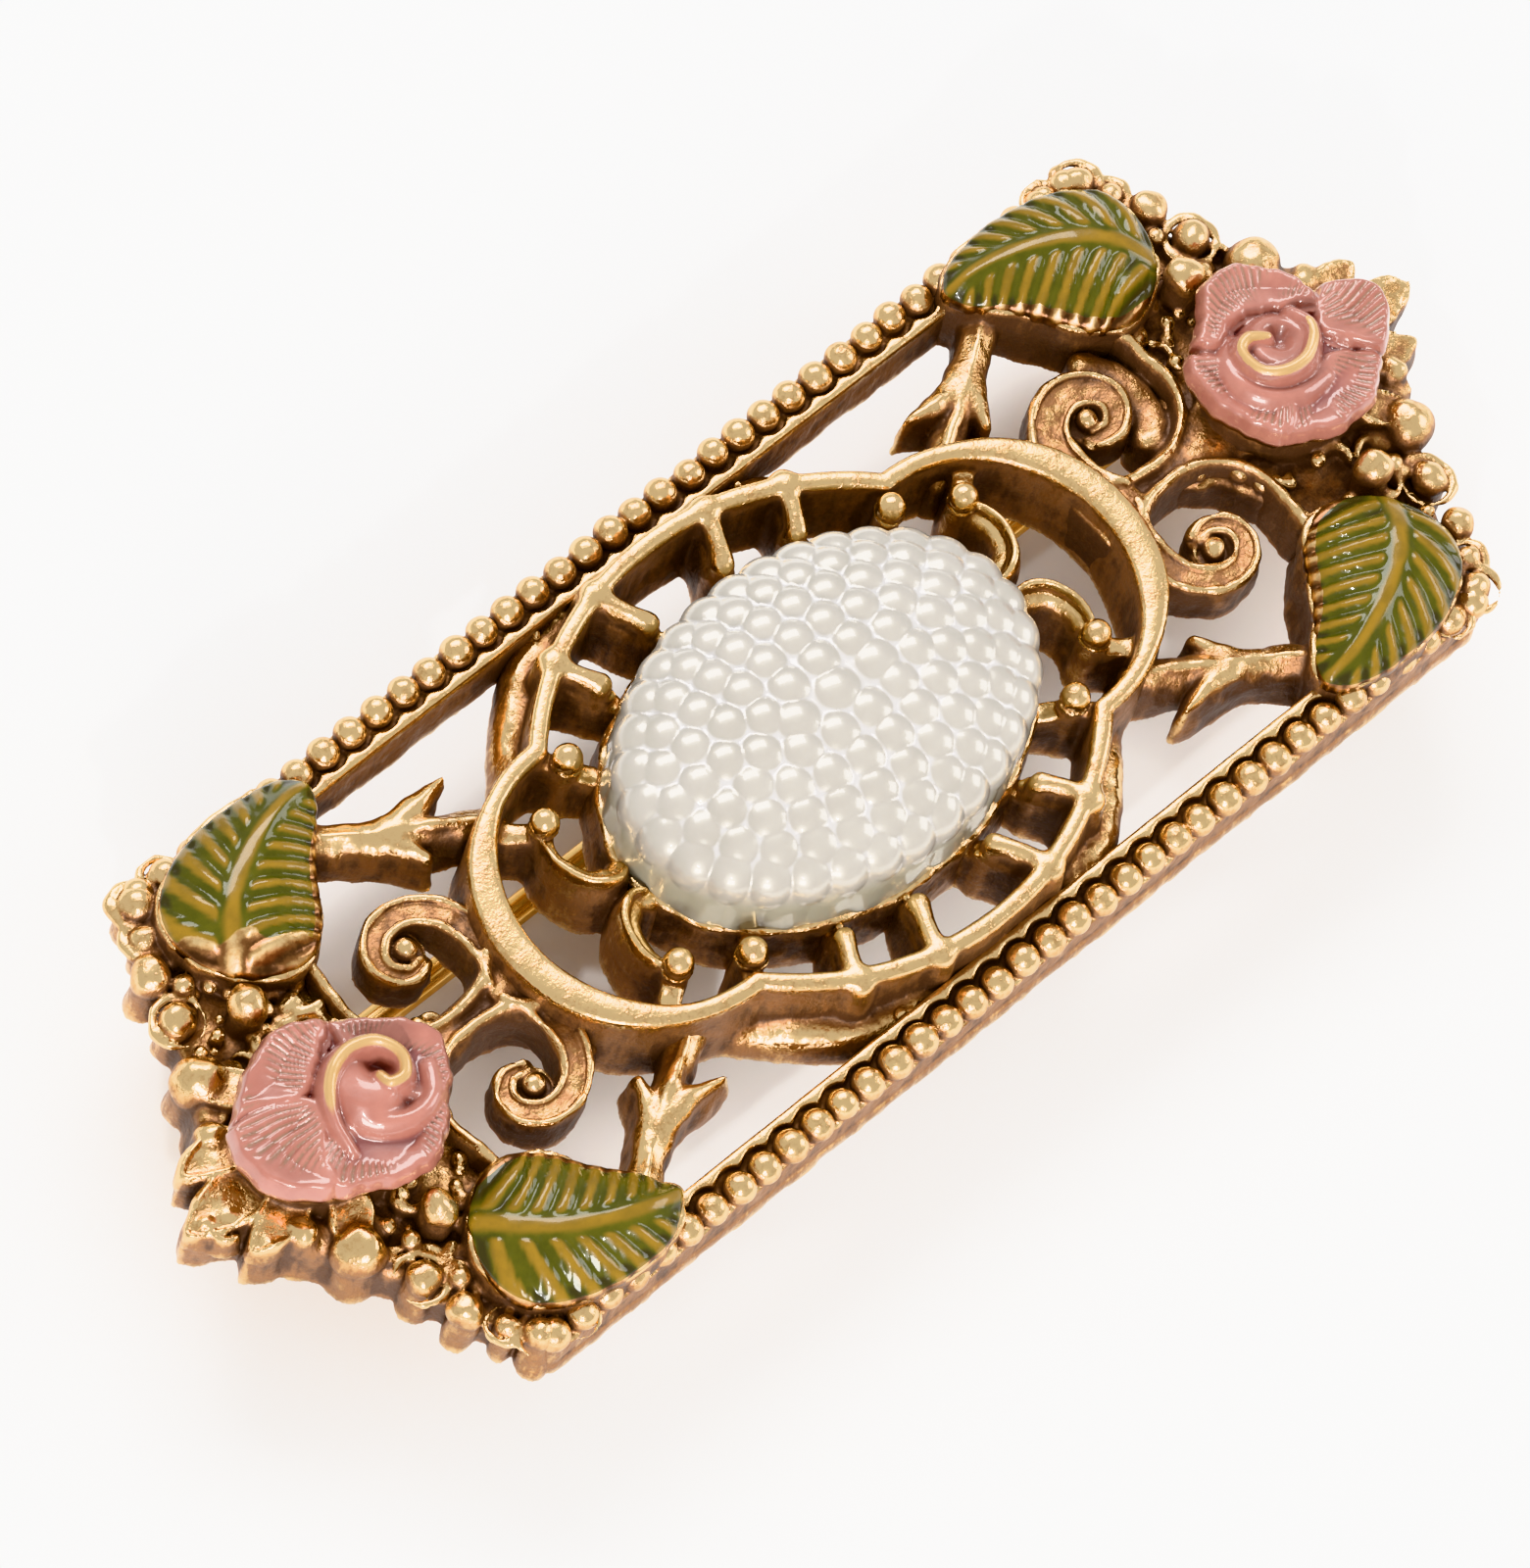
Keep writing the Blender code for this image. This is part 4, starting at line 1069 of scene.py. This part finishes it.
# Linear colours. A pair is the two ends of a cloudy change of tone.
# Gold from bare worn metal to dark patina; the brown and dark tones also serve as painted shade on walls, in
# hollows and under leaf edges.
GOLD_LIGHT = (0.90, 0.645, 0.335)
GOLD = (0.67, 0.41, 0.185)
GOLD_BROWN = (0.30, 0.150, 0.072)
GOLD_DARK = (0.105, 0.054, 0.032)
PLATING = ((0.92, 0.60, 0.24), (0.80, 0.45, 0.13))
STEEL = ((0.20, 0.19, 0.18), (0.36, 0.34, 0.32))
LEAF_GREEN = ((0.053, 0.054, 0.007), (0.080, 0.076, 0.010))
LEAF_OCHRE = ((0.235, 0.138, 0.022), (0.165, 0.102, 0.018))
LEAF_GROOVE = (0.035, 0.03, 0.01)
ROSE_PINK = ((0.30, 0.118, 0.090), (0.37, 0.158, 0.121))
# Darker pink painted as shade in the rose's hollows and round its bud.
ROSE_SHADE = (0.175, 0.060, 0.055)
ROSE_WORN = (0.22, 0.13, 0.085)
ROSE_GILT = (0.60, 0.385, 0.17)
PEARL_WHITE = ((0.345, 0.318, 0.275), (0.43, 0.402, 0.365))
PEARL_SEAM = (0.52, 0.50, 0.49)
PEARL_SIDE = (0.37, 0.345, 0.265)
CEMENT = ((0.42, 0.38, 0.30), (0.58, 0.54, 0.46))
FLOOR_WHITE = (0.93, 0.93, 0.93)


def gold_colours(nodes, patina_and_shade):
    """Worn gold to dark patina and painted shade, with cloudy changes of tone. Returns the colour and the
    final darkness, patina and painted shade together.
    """
    cloud = nodes.noise(1.5, 4)
    streaks = nodes.noise(0.35, 3, (1, 1, 0.22))
    specks = nodes.noise(0.16, 2)
    shift = nodes.plus(nodes.times(cloud, 0.75), nodes.times(streaks, 0.6))
    shift = nodes.plus(shift, nodes.times(specks, 0.3))
    dark = nodes.plus(patina_and_shade, nodes.plus(shift, -0.78), clamp=True)
    tone = nodes.mix(nodes.between(dark, 0.0, 0.3), GOLD_LIGHT, GOLD)
    tone = nodes.mix(nodes.between(dark, 0.22, 0.55), tone, GOLD_BROWN)
    tone = nodes.mix(nodes.between(dark, 0.55, 1.0), tone, GOLD_DARK)
    return tone, dark


def antique_gold():
    nodes = Nodes("antique_gold_cast")
    tone, dark = gold_colours(nodes, nodes.attribute("patina_and_shade"))
    grain = nodes.noise(0.16, 3, (1, 1, 0.45))
    pits = nodes.noise(0.5, 4)
    rough = nodes.between(dark, 0.05, 0.6, 0.3, 1.0)
    normal = nodes.bump(nodes.times(pits, rough), 0.11, 0.8)
    normal = nodes.bump(nodes.times(grain, rough), 0.05, 0.8, normal)
    nodes.set(base_color=tone, metallic=nodes.between(dark, 0.35, 0.85, 1.0, 0.45),
              roughness=nodes.between(dark, 0.0, 0.8, 0.15, 0.52), normal=normal)
    return nodes.material


def bright_gold():
    nodes = Nodes("bright_gold_plate")
    cloud = nodes.noise(2.0, 3)
    lines = nodes.noise(0.22, 2, (0.03, 1, 1))
    tone = nodes.mix(nodes.between(cloud, 0.35, 0.7), *PLATING)
    nodes.set(base_color=tone, metallic=1.0, roughness=nodes.between(lines, 0.3, 0.7, 0.16, 0.3),
              normal=nodes.bump(lines, 0.03, 0.5))
    return nodes.material


def dark_steel():
    nodes = Nodes("dark_polished_steel")
    lines = nodes.noise(0.2, 2, (1, 0.1, 1))
    tone = nodes.mix(lines, *STEEL)
    nodes.set(base_color=tone, metallic=1.0, roughness=nodes.between(lines, 0.3, 0.7, 0.2, 0.34),
              normal=nodes.bump(lines, 0.01, 0.4))
    return nodes.material


def leaf_enamel():
    nodes = Nodes("leaf_enamel_green")
    cloud = nodes.noise(1.6, 4)
    shifted = nodes.swing(cloud, 0.8)
    rib = nodes.plus(nodes.attribute("rib"), shifted)
    green = nodes.mix(nodes.between(cloud, 0.3, 0.7), *LEAF_GREEN)
    ochre = nodes.mix(nodes.between(cloud, 0.35, 0.7), *LEAF_OCHRE)
    enamel = nodes.mix(nodes.between(rib, 0.35, 0.95), green, ochre)
    metal, _ = gold_colours(nodes, nodes.attribute("patina_and_shade"))
    enamel = nodes.mix(nodes.between(nodes.attribute("groove"), 0.35, 0.9), enamel, LEAF_GROOVE)
    ragged = nodes.plus(nodes.attribute("bare"), nodes.times(shifted, 0.8))
    bare = nodes.between(ragged, 0.42, 0.58)
    fine = nodes.noise(0.7, 3)
    nodes.set(base_color=nodes.mix(bare, enamel, metal), metallic=bare,
              roughness=nodes.plus(nodes.times(bare, 0.02), 0.26),
              coat_weight=nodes.fade(0.4, bare), coat_roughness=0.05,
              normal=nodes.bump(fine, 0.05, 0.5))
    nodes.shader.inputs["Specular IOR Level"].default_value = 0.15
    return nodes.material


def rose_enamel():
    nodes = Nodes("rose_enamel_pink")
    cloud = nodes.noise(1.8, 4)
    fine = nodes.noise(0.3, 4, (1, 1, 0.5))
    pink = nodes.mix(nodes.between(cloud, 0.3, 0.7), *ROSE_PINK)
    # Painted shade: the hollows and the ground round the bud turn a darker pink.
    pink = nodes.mix(nodes.between(nodes.attribute("recess_shade"), 0.05, 0.75), pink, ROSE_SHADE)
    greyed = nodes.times(nodes.attribute("worn"), nodes.between(fine, 0.3, 0.5))
    pink = nodes.mix(nodes.times(greyed, 0.85), pink, ROSE_WORN)
    gilt = nodes.between(nodes.plus(nodes.attribute("gilt"), nodes.swing(cloud, 0.6)), 0.4, 0.8)
    bare = nodes.between(nodes.attribute("bare"), 0.3, 0.6)
    tone = nodes.mix(gilt, pink, ROSE_GILT)
    tone = nodes.mix(bare, tone, GOLD_BROWN)
    metal = nodes.maths("MAXIMUM", nodes.times(gilt, 0.55), bare)
    nodes.set(base_color=tone, metallic=metal, roughness=0.32,
              coat_weight=nodes.fade(0.85, bare), coat_roughness=0.06,
              normal=nodes.bump(fine, 0.03, 0.5))
    nodes.shader.inputs["Specular IOR Level"].default_value = 0.3
    return nodes.material


def seed_pearl():
    nodes = Nodes("seed_pearl_white")
    cloud = nodes.noise(3.0, 3)
    tone = nodes.mix(cloud, *PEARL_WHITE)
    tone = nodes.mix(nodes.between(nodes.attribute("seam"), 0.3, 1.0), tone, PEARL_SEAM)
    tone = nodes.mix(nodes.attribute("side"), tone, PEARL_SIDE)
    fine = nodes.noise(0.4, 2)
    nodes.set(base_color=tone, metallic=0.12, roughness=0.30, coat_weight=0.9, coat_roughness=0.05,
              normal=nodes.bump(fine, 0.01, 0.3))
    nodes.shader.inputs["Subsurface Weight"].default_value = 0.15
    nodes.shader.inputs["Subsurface Radius"].default_value = (0.0010, 0.0009, 0.0007)
    nodes.shader.inputs["Subsurface Scale"].default_value = 1.0
    return nodes.material


def cement():
    nodes = Nodes("clear_cement")
    cloud = nodes.noise(0.8, 3)
    nodes.set(base_color=nodes.mix(cloud, *CEMENT), roughness=0.55,
              normal=nodes.bump(cloud, 0.05, 0.5))
    return nodes.material


# Clasp.


def make_bar(material):
    """Round bar with fine grooves along it, drawn round the CAD bar's line, with an eye at the hinge."""
    middle_y = (BAR_LOW[1] + BAR_HIGH[1]) / 2
    eye_r = (BAR_HIGH[2] - BAR_LOW[2]) / 2
    middle_z = (BAR_LOW[2] + BAR_HIGH[2]) / 2 - BACK
    hinge_x = BAR_HIGH[0] - eye_r
    low = (BAR_LOW[0] - 0.1, middle_y - 1.2, middle_z - 1.4)
    high = (BAR_HIGH[0] + 0.2, middle_y + 1.2, middle_z + 1.4)
    field = Field(low, high, 0.1)
    cut, x, y, z = field.everywhere()
    around = np.hypot(y - middle_y, z - middle_z)
    turn = np.arctan2(z - middle_z, y - middle_y)
    grooves = 0.03 * np.abs(np.sin(turn * 5))
    bar_r = 0.75
    tip = BAR_LOW[0] + bar_r
    rounded = np.sqrt(np.clip(tip - x, 0, None) ** 2 + around**2)
    rod = np.maximum(rounded - bar_r + grooves, x - hinge_x + 0.3)
    eye = smooth_max(np.hypot(x - hinge_x, z - middle_z) - eye_r, np.abs(y - middle_y) - 0.95, 0.15)
    shape = smooth_min(rod, eye, 0.4)
    bore_r = 0.56
    bore = np.hypot(x - hinge_x, z - middle_z) - bore_r
    field.join(cut, smooth_max(shape, -bore, 0.08))
    points, quads = skin(field)
    piece = piece_from("clasp_bar_wire", points, quads, material, body="bar")
    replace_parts(piece, "clasp_bar")


def dress_cad_node(name, material):
    """A CAD piece whose shape is right keeps it, and gets softened edges and its finish."""
    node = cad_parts[name]
    node.data.materials.clear()
    node.data.materials.append(material)
    soft = node.modifiers.new("softened_edges", "BEVEL")
    soft.width = 0.08 * MM
    soft.segments = 2
    soft.limit_method = "ANGLE"
    soft.angle_limit = math.radians(40)
    node.data.shade_smooth()


# Stage.


def panel_light(name, place, size, power, colour=(1, 1, 1)):
    """A rectangular light that faces the barrette; places and sizes are in metres."""
    light = bpy.data.lights.new(name, "AREA")
    light.shape = "RECTANGLE"
    light.size, light.size_y = size
    light.energy = power
    light.color = colour
    obj = bpy.data.objects.new(name, light)
    obj.location = place
    obj.rotation_euler = (-Vector(place)).to_track_quat("-Z", "Y").to_euler()
    bpy.context.scene.collection.objects.link(obj)


def make_stage():
    mesh = bpy.data.meshes.new("floor")
    reach = 1.5
    corners = [(x * reach, y * reach, 0) for x, y in ((-1, -1), (1, -1), (1, 1), (-1, 1))]
    mesh.from_pydata(corners, [], [(0, 1, 2, 3)])
    floor = bpy.data.objects.new("floor", mesh)
    nodes = Nodes("pale_floor")
    nodes.set(base_color=FLOOR_WHITE, roughness=0.9)
    mesh.materials.append(nodes.material)
    bpy.context.scene.collection.objects.link(floor)

    world = bpy.data.worlds.new("studio")
    world.use_nodes = True
    background = world.node_tree.nodes["Background"]
    background.inputs["Color"].default_value = (1, 1, 1, 1)
    background.inputs["Strength"].default_value = 0.70
    bpy.context.scene.world = world
    bpy.context.scene.view_settings.view_transform = "Khronos PBR Neutral"
    panel_light("front_panel", (-0.30, -0.28, 0.17), (0.14, 0.10), 1.6, (1.0, 0.98, 0.95))
    panel_light("top_panel", (0.14, 0.30, 0.40), (0.40, 0.22), 3.0)
    panel_light("glint_lamp", (-0.30, -0.26, 0.30), (0.018, 0.018), 0.9)
    panel_light("side_panel", (0.34, -0.22, 0.20), (0.2, 0.2), 0.8)


def make_camera():
    """Long lens from the +Z, -X, -Y side, turned so that the length climbs to the right."""
    right = Vector((0.717, -0.677, 0.167))
    back = Vector((-0.414, -0.220, 0.883)).normalized()
    up = back.cross(right).normalized()
    right = up.cross(back).normalized()
    distance = 0.64
    aim = Vector((0, 0, (BACK + 3.6) * MM))
    shift_right, shift_up = -2.5447 * MM, -2.0377 * MM
    camera = bpy.data.cameras.new("camera")
    camera.lens = 301.0
    camera.sensor_width = 36.0
    camera.clip_end = 10
    obj = bpy.data.objects.new("camera", camera)
    obj.location = aim + back * distance + right * shift_right + up * shift_up
    obj.rotation_euler = Matrix((right, up, back)).transposed().to_euler()
    bpy.context.scene.collection.objects.link(obj)
    bpy.context.scene.camera = obj


def main():
    gold = antique_gold()
    fields = {
        "rail_upper": rail_field(1),
        "rail_lower": rail_field(-1),
        "gallery": gallery_field(),
        "pearl_cup": cup_field(),
        "scrollwork_left": scrollwork_field(-1),
        "scrollwork_right": scrollwork_field(1),
        "end_left": end_field(-1),
        "end_right": end_field(1),
    }
    pearl = pearl_field()
    for field in (*fields.values(), pearl):
        surroundings.add(field)
    for name, field in fields.items():
        piece = cast_piece(name, field, gold, TARNISH.get(name, 0.0))
        if name == "gallery":
            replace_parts(piece, "filigree_casting")
    points, quads = skin(pearl)
    side = 1 - ramp(points[:, 2], PEARL_GIRDLE - 0.9, PEARL_GIRDLE + 0.5)
    cavity = sampled(blurred(pearl.values < 0, 3), pearl.axes, points) - 0.5
    seam = np.clip(8 * cavity, 0, 1)
    stone = piece_from("seed_pearl_stone", points, quads, seed_pearl(), {"side": side, "seam": seam})
    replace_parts(stone, "seed_pearl_cabochon")

    green, pink = leaf_enamel(), rose_enamel()
    for end, sx in (("left", -1), ("right", 1)):
        rose = make_rose(f"rose_enamel_{end}", sx, pink)
        for edge, sy in (("upper", 1), ("lower", -1)):
            leaf = make_leaf(f"leaf_enamel_{edge}_{end}", sx, sy, green)

    plating, steel = bright_gold(), dark_steel()
    make_bar(plating)
    for name in ("hinge_plate", "catch_base"):
        dress_cad_node(name, plating)
    for name in ("hinge_rivet", "safety_sleeve"):
        dress_cad_node(name, steel)
    dress_cad_node("cabochon_cement", cement())

    make_stage()
    make_camera()


main()
